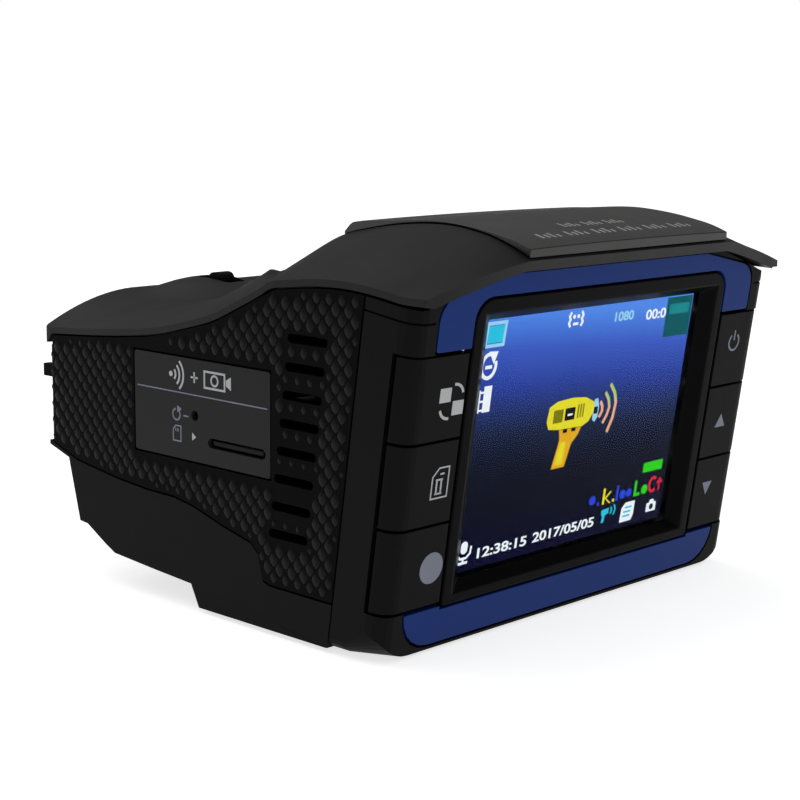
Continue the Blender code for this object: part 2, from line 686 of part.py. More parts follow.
def make_screen(materials, face):
    centre_y = -0.75 * MM
    glass_x, glass_y = 29.0 * MM, 20.8 * MM
    box("lcd_glass", (-glass_x, centre_y - glass_y, -3.0 * MM), (glass_x, centre_y + glass_y, -2.0 * MM),
        materials["glass"], face)
    half_x, half_y = MODULE_SIZE[0] / 2, MODULE_SIZE[1] / 2
    box("lcd_module", (-half_x, centre_y - half_y, -6.3 * MM), (half_x, centre_y + half_y, -3.9 * MM),
        materials["metal"], face)


KEY_NAMES = {
    -1: ("key_camera", "key_menu", "key_record"),
    1: ("key_power", "key_up", "key_down"),
}


def make_keys(materials, face):
    """Three keys on each side that wrap round the frame's corner, over their switches."""
    for side, names in KEY_NAMES.items():
        for row, name in enumerate(names):
            top = KEY_TOP - row * KEY_PITCH
            bottom = top - KEY_PITCH + KEY_SLIT
            make_key(name, side, bottom, top, materials["key"], face)
            make_switch(name.replace("key", "switch"), side, (bottom + top) / 2, materials, face)
        edge = sorted((side * 31.3 * MM, side * 38.8 * MM))
        label = "left" if side < 0 else "right"
        box(f"key_board_{label}", (edge[0], -21.5 * MM, -8.9 * MM), (edge[1], 13.5 * MM, -7.8 * MM),
            materials["board"], face)


def make_key(name, side, bottom, top, material, face):
    radius = FRAME_CORNER
    points = [(KEY_INNER_X, -KEY_DEPTH), (HALF_WIDTH, -KEY_DEPTH)]
    for step in range(7):
        angle = math.radians(90) * step / 6
        points.append((HALF_WIDTH - radius * (1 - math.cos(angle)), -radius * (1 - math.sin(angle))))
    points[2] = (HALF_WIDTH, -KEY_DEPTH + 0.05 * MM)
    points.append((KEY_INNER_X, 0.0))
    points = [(side * x, z) for x, z in points]
    key = slab(name, points, bottom, top, material, face, across="Y")
    post = cylinder(f"{name}_post", (side * KEY_POST_X, (bottom + top) / 2, -3.3 * MM), 1.6 * MM, 1.6 * MM,
                    "Z", parent=face, segments=12)
    boolean(key, post, "UNION")
    return key


def make_switch(name, side, y, materials, face):
    x = side * KEY_POST_X
    body = box(name, (x - 3 * MM, y - 3 * MM, SWITCH_BACK), (x + 3 * MM, y + 3 * MM, SWITCH_FRONT),
               materials["switch"], face)
    boolean(body, cylinder(f"{name}_hole", (x, y, SWITCH_FRONT), 1.95 * MM, 2.8 * MM, "Z", parent=face,
                           segments=16))
    cylinder(f"{name}_plunger", (x, y, -5.0 * MM), 1.6 * MM, 1.2 * MM, "Z", materials["plunger"], face, 16)


# ---------------------------------------------------------------- camera

def make_camera(materials):
    """Tilting barrel with its lens, and the bracket whose ears carry it."""
    pivot = bpy.data.objects.new("barrel_pivot", None)
    PARTS.objects.link(pivot)
    pivot.location = BARREL_CENTRE

    barrel = cylinder("lens_barrel", (0, 0, 0), BARREL_RADIUS, BARREL_LENGTH, "X", materials["barrel"],
                      pivot, 32)
    bevel(barrel, 0.6 * MM, 1, 50)
    boolean(barrel, cylinder("barrel_hollow", (0, 0, 0), BARREL_RADIUS - 1.7 * MM, BARREL_LENGTH - 3 * MM,
                             "X", parent=pivot, segments=32))
    boolean(barrel, cylinder("barrel_lens_way", (0, 8 * MM, 0), 5.6 * MM, 8 * MM, "Y", parent=pivot))
    boolean(barrel, box("barrel_rear_way", (-6 * MM, -14 * MM, -5 * MM), (6 * MM, -5 * MM, 5 * MM),
                        parent=pivot))
    for side in (-1, 1):
        boolean(barrel, cylinder(f"barrel_pin_{side}", (side * (BARREL_LENGTH / 2 + 1.2 * MM), 0, 0), 2.0 * MM, 3.0 * MM, "X",
                                 parent=pivot, segments=16), "UNION")
    tab = [(-1.6 * MM, 8.0 * MM, 0), (1.6 * MM, 8.0 * MM, 0), (1.6 * MM, 13.5 * MM), (-1.6 * MM, 13.5 * MM)]
    boolean(barrel, slab("barrel_tab", rounded(tab, 1.3 * MM, 4), -1.5 * MM, 1.5 * MM, parent=pivot,
                         across="X"), "UNION")

    lens = cylinder("lens_body", (0, 7.2 * MM, 0), 5.2 * MM, 8.6 * MM, "Y", materials["lens"], pivot)
    boolean(lens, cylinder("lens_recess", (0, 11.5 * MM, 0), 4.3 * MM, 3.0 * MM, "Y", parent=pivot))
    cylinder("lens_glass", (0, 10.8 * MM, 0), 3.9 * MM, 0.8 * MM, "Y", materials["glass"], pivot, 24,
             2.6 * MM)
    ring = cylinder("lens_ring", (0, 11.7 * MM, 0), 6.4 * MM, 0.8 * MM, "Y", materials["barrel"], pivot, 32)
    boolean(ring, cylinder("ring_way", (0, 11.7 * MM, 0), 5.5 * MM, 4.0 * MM, "Y", parent=pivot))
    box("sensor_board", (-6.0 * MM, 1.0 * MM, -5.0 * MM), (6.0 * MM, 2.2 * MM, 5.0 * MM),
        materials["board"], pivot)

    x, y, z = BARREL_CENTRE
    reach = BARREL_LENGTH / 2 + 3.2 * MM
    bracket = box("camera_bracket", (x - reach, y - 8 * MM, 21.4 * MM), (x + reach, y + 8 * MM, 23 * MM),
                  materials["bracket"])
    for side in (-1, 1):
        middle = x + side * (reach - 1.0 * MM)
        ear = slab(f"bracket_ear_{side}", rounded([(y - 6 * MM, 22 * MM, 0), (y + 6 * MM, 22 * MM, 0),
                   (y + 4.5 * MM, z + 4.5 * MM, 3 * MM), (y - 4.5 * MM, z + 4.5 * MM, 3 * MM)], 0),
                   middle - 1.0 * MM, middle + 1.0 * MM, across="X")
        boolean(bracket, ear, "UNION")
        boolean(bracket, cylinder(f"bracket_hole_{side}", (middle, y, z), 2.3 * MM, 4 * MM, "X",
                                  segments=16))


# ---------------------------------------------------------------- radar and laser

def make_horn(material):
    """Flared antenna horn opening towards the windscreen, closed at its throat."""
    centre_x, centre_z = 20.5 * MM, 29.4 * MM
    shape = bmesh.new()
    loops = []
    for y, half_x, half_z in ((16, 6.0, 4.4), (22, 6.0, 4.4), (38.0, 13.6, 5.6)):
        loop = []
        for sign_x, sign_z in ((-1, -1), (1, -1), (1, 1), (-1, 1)):
            place = (centre_x + sign_x * half_x * MM, y * MM, centre_z + sign_z * half_z * MM)
            loop.append(shape.verts.new(place))
        loops.append(loop)
    shape.faces.new(loops[0])
    for low, high in zip(loops, loops[1:]):
        for index in range(4):
            after = (index + 1) % 4
            shape.faces.new((low[index], low[after], high[after], high[index]))
    horn = to_object("horn_antenna", shape, material)
    solidify(horn, 0.9 * MM)
    return horn


def make_radar(materials):
    make_horn(materials["horn"])
    box("radar_board", (5.0 * MM, 12.5 * MM, 21.9 * MM), (33.4 * MM, 35.0 * MM, 23.1 * MM),
        materials["board"])
    box("front_window", (-2.7 * MM, FRONT_Y - 1.7 * MM, 24.2 * MM), (35.9 * MM, FRONT_Y - 0.3 * MM, 35.0 * MM),
        materials["window"])
    cylinder("laser_lens", (1.9 * MM, 37.6 * MM, 29.4 * MM), 3.6 * MM, 2.4 * MM, "Y", materials["glass"],
             segments=24, tip=2.4 * MM)
    box("laser_sensor", (-0.2 * MM, 29.0 * MM, 27.4 * MM), (4.0 * MM, 31.0 * MM, 31.4 * MM),
        materials["switch"])


# ---------------------------------------------------------------- electronics

def make_electronics(materials):
    box("main_board", (-38.6 * MM, -16.6 * MM, 23.4 * MM), (38.6 * MM, 11.4 * MM, 25.0 * MM),
        materials["board"])
    length, width, thick = CARD_SIZE
    socket = box("card_socket", (-38.8 * MM, CARD_Y - 6.5 * MM, 25.3 * MM),
                 (-24.4 * MM, CARD_Y + 6.5 * MM, 27.5 * MM), materials["metal"])
    boolean(socket, box("socket_way", (-42 * MM, CARD_Y - width / 2 - GAP, CARD_Z - thick / 2 - GAP),
                        (-24.9 * MM, CARD_Y + width / 2 + GAP, CARD_Z + thick / 2 + GAP)))
    card_out = -HALF_WIDTH + 0.35 * MM
    box("memory_card", (card_out, CARD_Y - width / 2, CARD_Z - thick / 2),
        (card_out + length, CARD_Y + width / 2, CARD_Z + thick / 2), materials["card"])

    reset = box("reset_switch", (-37.9 * MM, RESET_Y - 2.2 * MM, 25.3 * MM),
                (-34.0 * MM, RESET_Y + 2.2 * MM, 32.2 * MM), materials["switch"])
    boolean(reset, cylinder("reset_hole", (-37.9 * MM, RESET_Y, RESET_Z), 1.1 * MM, 3.4 * MM, "X",
                            segments=12))
    cylinder("reset_button", (-38.0 * MM, RESET_Y, RESET_Z), 0.7 * MM, 1.9 * MM, "X", materials["plunger"],
             segments=12)

    jack = box("power_jack", (29.6 * MM, -5.0 * MM, 25.3 * MM), (39.1 * MM, 4.0 * MM, 29.5 * MM),
               materials["metal"])
    boolean(jack, box("jack_way", (31.0 * MM, -4.3 * MM, 25.9 * MM), (44 * MM, 3.3 * MM, 28.9 * MM)))
    box("jack_tongue", (31.3 * MM, -3.1 * MM, 27.0 * MM), (38.4 * MM, 2.1 * MM, 27.8 * MM),
        materials["switch"])
    boolean(bpy.data.objects["power_jack"], box("tongue_seat", (30.6 * MM, -3.4 * MM, 26.7 * MM),
                                                (31.6 * MM, 2.4 * MM, 28.1 * MM)))

    box("battery", (-17.0 * MM, -15.0 * MM, 8.0 * MM), (17.0 * MM, 7.0 * MM, 13.0 * MM),
        materials["battery"])
    cylinder("speaker", (31.5 * MM, -6.0 * MM, 38.4 * MM), 8.0 * MM, 4.4 * MM, "X", materials["speaker"],
             segments=24, tip=7.0 * MM)
    cylinder("microphone", (-30.0 * MM, -13.6 * MM, 26.2 * MM), 2.0 * MM, 1.6 * MM, "Z",
             materials["metal"], segments=16)


def make_nameplate(material):
    plate = slab("nameplate", rounded([(-11.3 * MM, 23.0 * MM), (19.3 * MM, 23.0 * MM),
                 (19.3 * MM, 38.3 * MM), (-11.3 * MM, 38.3 * MM)], 0.4 * MM, 2),
                 -HALF_WIDTH, -HALF_WIDTH + 0.7 * MM, material, across="X")
    boolean(plate, slot_cutter("card_way_plate", -1, CARD_Y, CARD_Z, 12.6 * MM, 1.5 * MM))
    boolean(plate, cylinder("reset_way_plate", (-HALF_WIDTH, RESET_Y, RESET_Z), 0.8 * MM, 6 * MM, "X",
                            segments=12))
    return plate


def pad_corners(grow=0.0):
    side, rear, front = 33.0 * MM + grow, -19.0 * MM - grow, 2.0 * MM + grow
    return [(-side, rear), (side, rear), (side, front), (-side, front)]


def make_base_pad(material):
    """Soft pad let into the flat part of the base, which the detector stands on."""
    return slab("base_pad", rounded(pad_corners(), 3.0 * MM, 4), 0.0, 1.4 * MM, material)


def make_screws(material):
    for index, (x, y) in enumerate(SCREW_PLACES):
        head = cylinder(f"screw_{index + 1}", (x * MM, y * MM, 6.4 * MM), 1.8 * MM, 1.4 * MM,
                        "Z", material, segments=16)
        shank = cylinder(f"screw_shank_{index}", (x * MM, y * MM, 14.8 * MM), 1.0 * MM, 16.0 * MM, "Z",
                         segments=12)
        boolean(head, shank, "UNION")


# ---------------------------------------------------------------- assembly

def main():
    black = {
        "cover": make_material("cover_plastic", (0.022, 0.022, 0.024), 0.55),
        "panel": make_material("panel_plastic", (0.012, 0.012, 0.013), 0.5),
        "frame": make_material("frame_plastic", (0.014, 0.014, 0.015), 0.5),
        "bottom": make_material("bottom_plastic", (0.015, 0.015, 0.016), 0.55),
        "plate": make_material("plate_plastic", (0.03, 0.03, 0.03), 0.45),
        "bezel": make_material("bezel_gloss", (0.006, 0.006, 0.007), 0.12),
        "front": make_material("front_plastic", (0.012, 0.012, 0.013), 0.4),
    }
    shared = {
        "key": make_material("key_plastic", (0.016, 0.016, 0.017), 0.5),
        "switch": make_material("switch_black", (0.02, 0.02, 0.02), 0.5),
        "plunger": make_material("plunger_white", (0.6, 0.58, 0.5), 0.5),
        "board": make_material("board_green", (0.02, 0.12, 0.05), 0.4),
        "metal": make_material("sheet_metal", (0.6, 0.6, 0.6), 0.3, 1.0),
        "glass": make_material("display_glass", (0.02, 0.03, 0.08), 0.05),
        "lens": make_material("lens_black", (0.01, 0.01, 0.01), 0.3),
        "barrel": make_material("barrel_plastic", (0.015, 0.015, 0.016), 0.45),
        "bracket": make_material("bracket_plastic", (0.03, 0.03, 0.03), 0.5),
        "horn": make_material("horn_metal", (0.55, 0.52, 0.48), 0.35, 1.0),
        "window": make_material("window_smoke", (0.02, 0.005, 0.01), 0.08),
        "card": make_material("card_black", (0.02, 0.02, 0.02), 0.4),
        "battery": make_material("battery_film", (0.5, 0.5, 0.52), 0.4),
        "speaker": make_material("speaker_black", (0.02, 0.02, 0.02), 0.6),
    }
    blue = make_material("trim_blue", (0.035, 0.07, 0.28), 0.35)
    rubber = make_material("pad_rubber", (0.01, 0.01, 0.01), 0.85)
    steel = make_material("screw_steel", (0.35, 0.35, 0.35), 0.35, 1.0)

    face = bpy.data.objects.new("face_frame", None)
    PARTS.objects.link(face)
    face.location = FACE_ORIGIN
    face.rotation_euler = (math.radians(90) + FACE_TILT, 0, 0)
    bpy.context.view_layer.update()

    make_top_cover(black["cover"])
    make_top_plate(black["plate"])
    make_side_panel(-1, black["panel"])
    make_side_panel(1, black["panel"])
    make_bottom_cover(black["bottom"])
    make_front_panel(black["front"])
    make_rear_frame(black["frame"], face)
    make_bezel(black["bezel"], face)
    slab("blue_trim_upper", upper_trim_outline(), -TRIM_DEPTH, 0, blue, face)
    slab("blue_trim_lower", lower_trim_outline(), -TRIM_DEPTH, 0, blue, face)
    make_screen(shared, face)
    make_keys(shared, face)
    make_camera(shared)
    make_radar(shared)
    make_electronics(shared)
    make_nameplate(black["plate"])
    make_base_pad(rubber)
    make_screws(steel)


clear_scene()
PARTS = make_collection("radar_detector")
CUTTERS = make_collection("cutters")
main()
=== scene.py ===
"""Looks of the combined radar detector and dash camera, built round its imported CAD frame.

Frame: +Z up, the screen faces -Y, the nose points along +Y, +X is to the right of somebody looking at
the screen. Lengths are in metres.
"""

import math

import bmesh
import bpy
from mathutils import Matrix, Vector


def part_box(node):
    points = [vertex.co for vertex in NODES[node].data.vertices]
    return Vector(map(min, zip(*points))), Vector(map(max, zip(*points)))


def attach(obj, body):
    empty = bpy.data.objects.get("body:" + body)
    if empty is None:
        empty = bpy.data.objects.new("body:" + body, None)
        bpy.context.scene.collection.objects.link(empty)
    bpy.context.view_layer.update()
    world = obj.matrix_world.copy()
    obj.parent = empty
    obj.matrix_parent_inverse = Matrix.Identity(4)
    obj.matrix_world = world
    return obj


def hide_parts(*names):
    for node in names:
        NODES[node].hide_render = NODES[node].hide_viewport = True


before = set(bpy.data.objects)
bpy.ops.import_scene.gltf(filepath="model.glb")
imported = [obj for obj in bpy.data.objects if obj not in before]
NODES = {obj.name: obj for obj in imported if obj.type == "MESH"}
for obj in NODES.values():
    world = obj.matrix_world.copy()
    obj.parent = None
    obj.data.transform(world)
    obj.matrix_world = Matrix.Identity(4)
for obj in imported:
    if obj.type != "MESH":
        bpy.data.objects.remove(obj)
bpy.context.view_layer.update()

MM = 0.001
HALF_WIDTH = -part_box("side_panel_left")[0].x
FACE_TILT = math.radians(8.0)
FACE_ORIGIN = Vector((0.0, -36.7 * MM, 29.0 * MM))
FACE = Matrix.Translation(FACE_ORIGIN) @ Matrix.Rotation(math.radians(90) + FACE_TILT, 4, "X")
ACTIVE_HALF = (24.48, 18.36)
ACTIVE_CENTRE_Y = -1.0
FRAME_DEPTH = 9.4 * MM
LIP_Y = -43.7 * MM
COVER_FRONT_Y = 42.8 * MM
COVER_SKIRT = 1.0 * MM
COVER_WALL = 1.6 * MM
SIDE_WALL = 1.8 * MM
COVER_FRONT_Z = 37.0 * MM
NOSE_CORNER = 1.0 * MM
HOOD_SETBACK = 2.5 * MM
PLATEAU_HALF = 24.0 * MM
NOSE_FLAT_HALF = 23.0 * MM
GAP = 0.3 * MM
BARREL_CENTRE = (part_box("lens_ring")[0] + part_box("lens_ring")[1]) / 2
LENS_OPENING = (6.9 * MM, 8.3 * MM)

# In mm: the thumb slot in the nose, the display's glass and lit picture, and the side vents
THUMB_WAY = ((-18.1, 24.4), (-13.9, 24.4), (-13.9, 32.6), (-18.1, 32.6))
GLASS_HALF = (29.0, 20.8)
GLASS_CENTRE_Y = -0.75
GLASS_LIFT = (-2.35, -2.0)
PICTURE_LIFT = (-3.0, -2.5)
PICTURE_MARGIN = 0.2
VENT_COUNT = 8
VENT_TOP = 43.6
VENT_PITCH = 4.05
VENT_INSET = 15.6
VENT_SIZE = (8.0, 1.3)

# Moulded grain on the sides, in mm: spacing, half size of a bump (both as y, z), and its rings
# as (share of the half size, lift)
GRAIN_PITCH = (2.5, 1.32)
GRAIN_HALF = (0.92, 1.16)
GRAIN_RINGS = ((1.0, -0.05), (0.72, 0.14), (0.38, 0.22))
GRAIN_SHARES = (1.0, 0.8, 0.6, 0.45)
GRAIN_CORNERS = 8

# Camera: place in metres, then azimuth, elevation and roll in degrees
CAMERA_PLACE = (-0.20688, -0.195249, 0.07778)
CAMERA_TURN = (46.24, 9.93, -0.559)
CAMERA_LENS = 80.235

# Side outlines, in mm as (y, z)
COVER_RIDGE = (
    (-43.7, 55.2), (-40.0, 56.8), (-35.4, 58.2), (-28.4, 59.1), (-20.0, 58.7), (-11.0, 57.2), (-7.4, 56.2),
    (-1.9, 53.6), (1.4, 51.7), (4.4, 50.2), (9.0, 47.9), (15.3, 45.7), (24.0, 44.2), (33.0, 44.1),
    (42.8, 44.5),
)
PLATE_TOP = (
    (-43.7, 56.6), (-40.8, 57.6), (-38.2, 58.2), (-32.7, 59.1), (-25.6, 59.6), (-17.2, 59.1), (-9.5, 58.4),
    (-7.8, 57.0),
)
COVER_EDGE = (
    (-43.7, 50.1), (-36.7, 50.2), (-33.4, 50.7), (-26.7, 51.3), (-20.7, 51.2), (-15.0, 50.6),
    (-11.4, 50.1), (-9.3, 49.0), (-5.2, 47.1), (1.1, 44.4), (7.7, 42.6), (14.4, 41.1), (26.2, 39.7),
    (42.8, 38.4),
)
PANEL_LOWER = (
    (41.8, 21.4), (37.6, 20.0), (34.3, 19.0), (24.3, 17.7), (16.7, 17.1), (10.2, 17.0), (5.8, 16.3),
    (-0.8, 14.5), (-7.1, 13.1), (-8.7, 11.7), (-9.7, 7.9), (-11.1, 7.5),
)


# ---------------------------------------------------------------- materials

def linear(r, g, b):
    """Display colour, 0 to 255, as scene colour."""
    out = []
    for value in (r, g, b):
        value /= 255
        out.append(value / 12.92 if value <= 0.04045 else ((value + 0.055) / 1.055) ** 2.4)
    return (*out, 1.0)


def new_material(name):
    material = bpy.data.materials.new(name)
    material.use_nodes = True
    return material, material.node_tree.nodes, material.node_tree.links


def finish_material(name, color, rough, specular=0.3, grain=0.0, grain_scale=2500.0, mottle=0.18,
                    rough_spread=0.08, metallic=0.0, coat=0.0, stretch=(1, 1, 1)):
    """Moulded or painted finish: fine surface grain, soft colour mottling and uneven sheen."""
    material, nodes, links = new_material(name)
    shader = nodes["Principled BSDF"]
    shader.inputs["Metallic"].default_value = metallic
    shader.inputs["Specular IOR Level"].default_value = specular
    shader.inputs["Coat Weight"].default_value = coat
    shader.inputs["Coat Roughness"].default_value = 0.08
    place = nodes.new("ShaderNodeTexCoord")
    mapping = nodes.new("ShaderNodeMapping")
    mapping.inputs["Scale"].default_value = stretch
    links.new(place.outputs["Object"], mapping.inputs["Vector"])
    broad = nodes.new("ShaderNodeTexNoise")
    broad.inputs["Scale"].default_value = 160.0
    broad.inputs["Detail"].default_value = 5.0
    links.new(mapping.outputs["Vector"], broad.inputs["Vector"])
    tint = nodes.new("ShaderNodeMix")
    tint.data_type = "RGBA"
    low = [c * (1 - mottle) for c in color[:3]]
    high = [c * (1 + mottle) for c in color[:3]]
    tint.inputs["A"].default_value = (*low, 1)
    tint.inputs["B"].default_value = (*high, 1)
    links.new(broad.outputs["Fac"], tint.inputs["Factor"])
    links.new(tint.outputs["Result"], shader.inputs["Base Color"])
    sheen = nodes.new("ShaderNodeMapRange")
    sheen.inputs["To Min"].default_value = max(rough - rough_spread, 0.02)
    sheen.inputs["To Max"].default_value = min(rough + rough_spread, 1.0)
    fine = nodes.new("ShaderNodeTexNoise")
    fine.inputs["Scale"].default_value = grain_scale
    fine.inputs["Detail"].default_value = 3.0
    links.new(mapping.outputs["Vector"], fine.inputs["Vector"])
    links.new(broad.outputs["Fac"], sheen.inputs["Value"])
    links.new(sheen.outputs["Result"], shader.inputs["Roughness"])
    if grain > 0:
        bump = nodes.new("ShaderNodeBump")
        bump.inputs["Strength"].default_value = grain
        bump.inputs["Distance"].default_value = 0.00006
        links.new(fine.outputs["Fac"], bump.inputs["Height"])
        links.new(bump.outputs["Normal"], shader.inputs["Normal"])
    return material


def glow_material(name, color, strength=1.0, spread=0.08):
    """Lit part of the picture on the display, with a slight unevenness."""
    material, nodes, links = new_material(name)
    shader = nodes["Principled BSDF"]
    shader.inputs["Base Color"].default_value = (0, 0, 0, 1)
    shader.inputs["Roughness"].default_value = 0.5
    shader.inputs["Specular IOR Level"].default_value = 0.0
    shader.inputs["Emission Strength"].default_value = strength
    place = nodes.new("ShaderNodeTexCoord")
    noise = nodes.new("ShaderNodeTexNoise")
    noise.inputs["Scale"].default_value = 900.0
    links.new(place.outputs["Object"], noise.inputs["Vector"])
    tint = nodes.new("ShaderNodeMix")
    tint.data_type = "RGBA"
    tint.inputs["A"].default_value = (*[c * (1 - spread) for c in color[:3]], 1)
    tint.inputs["B"].default_value = (*[c * (1 + spread) for c in color[:3]], 1)
    links.new(noise.outputs["Fac"], tint.inputs["Factor"])
    links.new(tint.outputs["Result"], shader.inputs["Emission Color"])
    return material


def picture_material():
    """Display background: bright blue along the top that falls to near black along the foot."""
    material, nodes, links = new_material("display_picture")
    shader = nodes["Principled BSDF"]
    shader.inputs["Base Color"].default_value = (0.0, 0.0, 0.0, 1)
    shader.inputs["Roughness"].default_value = 0.25
    shader.inputs["Specular IOR Level"].default_value = 0.0
    shader.inputs["Emission Strength"].default_value = 1.0
    place = nodes.new("ShaderNodeTexCoord")
    parts = nodes.new("ShaderNodeSeparateXYZ")
    links.new(place.outputs["Object"], parts.inputs["Vector"])
    across = nodes.new("ShaderNodeMapRange")
    across.inputs["From Min"].default_value = -ACTIVE_HALF[0] * MM
    across.inputs["From Max"].default_value = ACTIVE_HALF[0] * MM
    links.new(parts.outputs["X"], across.inputs["Value"])
    up = nodes.new("ShaderNodeMapRange")
    up.inputs["From Min"].default_value = (ACTIVE_CENTRE_Y - ACTIVE_HALF[1]) * MM
    up.inputs["From Max"].default_value = (ACTIVE_CENTRE_Y + ACTIVE_HALF[1]) * MM
    links.new(parts.outputs["Y"], up.inputs["Value"])
    noise = nodes.new("ShaderNodeTexNoise")
    noise.inputs["Scale"].default_value = 90.0
    noise.inputs["Detail"].default_value = 2.0
    links.new(place.outputs["Object"], noise.inputs["Vector"])
    shift = nodes.new("ShaderNodeMath")
    shift.operation = "MULTIPLY_ADD"
    shift.inputs[1].default_value = 0.08
    links.new(across.outputs["Result"], shift.inputs[0])
    links.new(up.outputs["Result"], shift.inputs[2])
    stir = nodes.new("ShaderNodeMath")
    stir.operation = "MULTIPLY_ADD"
    stir.inputs[1].default_value = 0.04
    links.new(noise.outputs["Fac"], stir.inputs[0])
    links.new(shift.outputs["Value"], stir.inputs[2])
    ramp = nodes.new("ShaderNodeValToRGB")
    span = 1.25
    stops = ((0.0, (5, 5, 40)), (0.10, (5, 6, 34)), (0.29, (8, 12, 26)), (0.42, (13, 18, 36)),
             (0.49, (17, 25, 48)), (0.56, (24, 34, 62)), (0.63, (30, 45, 92)), (0.70, (36, 55, 125)),
             (0.76, (40, 64, 152)), (0.90, (56, 88, 188)), (0.98, (68, 115, 212)), (1.05, (80, 135, 228)))
    ramp.color_ramp.elements.remove(ramp.color_ramp.elements[1])
    first = ramp.color_ramp.elements[0]
    first.position, first.color = 0.0, linear(*stops[0][1])
    for position, color in stops[1:]:
        ramp.color_ramp.elements.new(position / span).color = linear(*color)
    scale = nodes.new("ShaderNodeMath")
    scale.operation = "DIVIDE"
    scale.inputs[1].default_value = span
    links.new(stir.outputs["Value"], scale.inputs[0])
    links.new(scale.outputs["Value"], ramp.inputs["Fac"])
    links.new(ramp.outputs["Color"], shader.inputs["Emission Color"])
    return material


def clear_material(name, color, ior=1.12, rough=0.03, specular=0.5):
    material, nodes, links = new_material(name)
    shader = nodes["Principled BSDF"]
    shader.inputs["IOR"].default_value = ior
    shader.inputs["Specular IOR Level"].default_value = specular
    shader.inputs["Transmission Weight"].default_value = 1.0
    place = nodes.new("ShaderNodeTexCoord")
    noise = nodes.new("ShaderNodeTexNoise")
    noise.inputs["Scale"].default_value = 300.0
    links.new(place.outputs["Object"], noise.inputs["Vector"])
    sheen = nodes.new("ShaderNodeMapRange")
    sheen.inputs["To Min"].default_value = rough * 0.6
    sheen.inputs["To Max"].default_value = rough * 1.4
    links.new(noise.outputs["Fac"], sheen.inputs["Value"])
    links.new(sheen.outputs["Result"], shader.inputs["Roughness"])
    tint = nodes.new("ShaderNodeMix")
    tint.data_type = "RGBA"
    tint.inputs["A"].default_value = color
    tint.inputs["B"].default_value = (*[min(c * 1.04, 1.0) for c in color[:3]], 1)
    links.new(noise.outputs["Fac"], tint.inputs["Factor"])
    links.new(tint.outputs["Result"], shader.inputs["Base Color"])
    return material


MAT = {
    "cover": finish_material("cover_satin", linear(27, 27, 28), 0.5, 0.14, 0.12),
    "plate": finish_material("plate_satin", linear(19, 18, 16), 0.3, 0.55, 0.10),
    # The side panels and their moulded grain bumps are one plastic. The bumps get a lighter colour than the
    # panel between them: painted highlight on the bumps, painted shade between them.
    "side": finish_material("side_grain", linear(8, 8, 9), 0.6, 0.03, 0.15),
    "knurl": finish_material("side_knurl_painted_highlight", linear(19, 19, 19), 0.5, 0.08, 0.10),
    "bottom": finish_material("bottom_satin", linear(21, 21, 21), 0.6, 0.05, 0.12),
    "frame": finish_material("frame_satin", linear(14, 14, 14), 0.5, 0.05, 0.12),
    "key": finish_material("key_satin", linear(14, 14, 14), 0.5, 0.05, 0.10),
    "bezel": finish_material("bezel_gloss", linear(6, 6, 8), 0.3, 0.03, 0.0, mottle=0.1, rough_spread=0.05),
    "blue": finish_material("trim_blue", linear(20, 47, 110), 0.45, 0.06, 0.08, 4500, 0.1, metallic=0.2),
    "nameplate": finish_material("nameplate_satin", linear(40, 40, 40), 0.5, 0.06, 0.05),
    "print_grey": finish_material("print_grey", linear(176, 177, 180), 0.6, 0.2, 0.05),
    "print_dim": finish_material("print_dim", linear(120, 126, 140), 0.6, 0.2, 0.05),
    "rubber": finish_material("pad_rubber_fine", linear(24, 24, 24), 0.85, 0.15, 0.3, 1800),
    "inner": finish_material("inner_black", linear(30, 30, 31), 0.6, 0.25, 0.15),
    "plunger": finish_material("plunger_cream", linear(205, 200, 185), 0.5, 0.3, 0.05),
    "board": finish_material("board_green_fine", linear(24, 86, 50), 0.35, 0.4, 0.2, 900, 0.35),
    "steel": finish_material("plated_steel", linear(190, 190, 192), 0.3, 0.5, 0.15, 1400, 0.08,
                             metallic=1.0, stretch=(1, 12, 1)),
    "horn": finish_material("die_cast", linear(178, 172, 165), 0.42, 0.5, 0.5, 1300, 0.12, metallic=1.0),
    "card": finish_material("card_black_fine", linear(17, 17, 18), 0.5, 0.1, 0.08),
    "film": finish_material("battery_film_fine", linear(178, 180, 186), 0.35, 0.4, 0.1, 500),
    "window": finish_material("window_dark", (0.008, 0.003, 0.005, 1), 0.08, 0.5, 0.0, rough_spread=0.03,
                              coat=0.3),
    "lens": finish_material("lens_black_gloss", linear(14, 14, 15), 0.18, 0.5, 0.0, rough_spread=0.04),
    "lens_glass": clear_material("lens_coated", (0.62, 0.70, 0.95, 1), 1.5, 0.02),
    "film_clear": clear_material("display_clear", (0.99, 0.99, 1.0, 1), 1.06, 0.02, 0.02),
    "screw": finish_material("screw_zinc", linear(120, 120, 124), 0.32, 0.5, 0.1, 2500, 0.1, metallic=1.0),
    "picture": picture_material(),
    "white": glow_material("picture_white", linear(232, 240, 246)),
    "pale": glow_material("picture_pale", linear(150, 205, 235)),
    "cyan": glow_material("picture_cyan", linear(40, 190, 222)),
    "yellow": glow_material("picture_yellow", linear(222, 214, 42)),
    "amber": glow_material("picture_amber", linear(222, 168, 30)),
    "olive": glow_material("picture_olive", linear(120, 118, 16)),
    "dark": glow_material("picture_dark", linear(14, 16, 18)),
    "green": glow_material("picture_green", linear(40, 205, 24)),
    "red": glow_material("picture_red", linear(205, 34, 66)),
    "indigo": glow_material("picture_indigo", linear(36, 66, 214)),
    "peach": glow_material("picture_peach", linear(226, 168, 132)),
    "leaf": glow_material("picture_leaf", linear(130, 210, 90)),
    "teal": glow_material("picture_teal", linear(4, 84, 92)),
    "teal_light": glow_material("picture_teal_light", linear(18, 132, 138)),
}

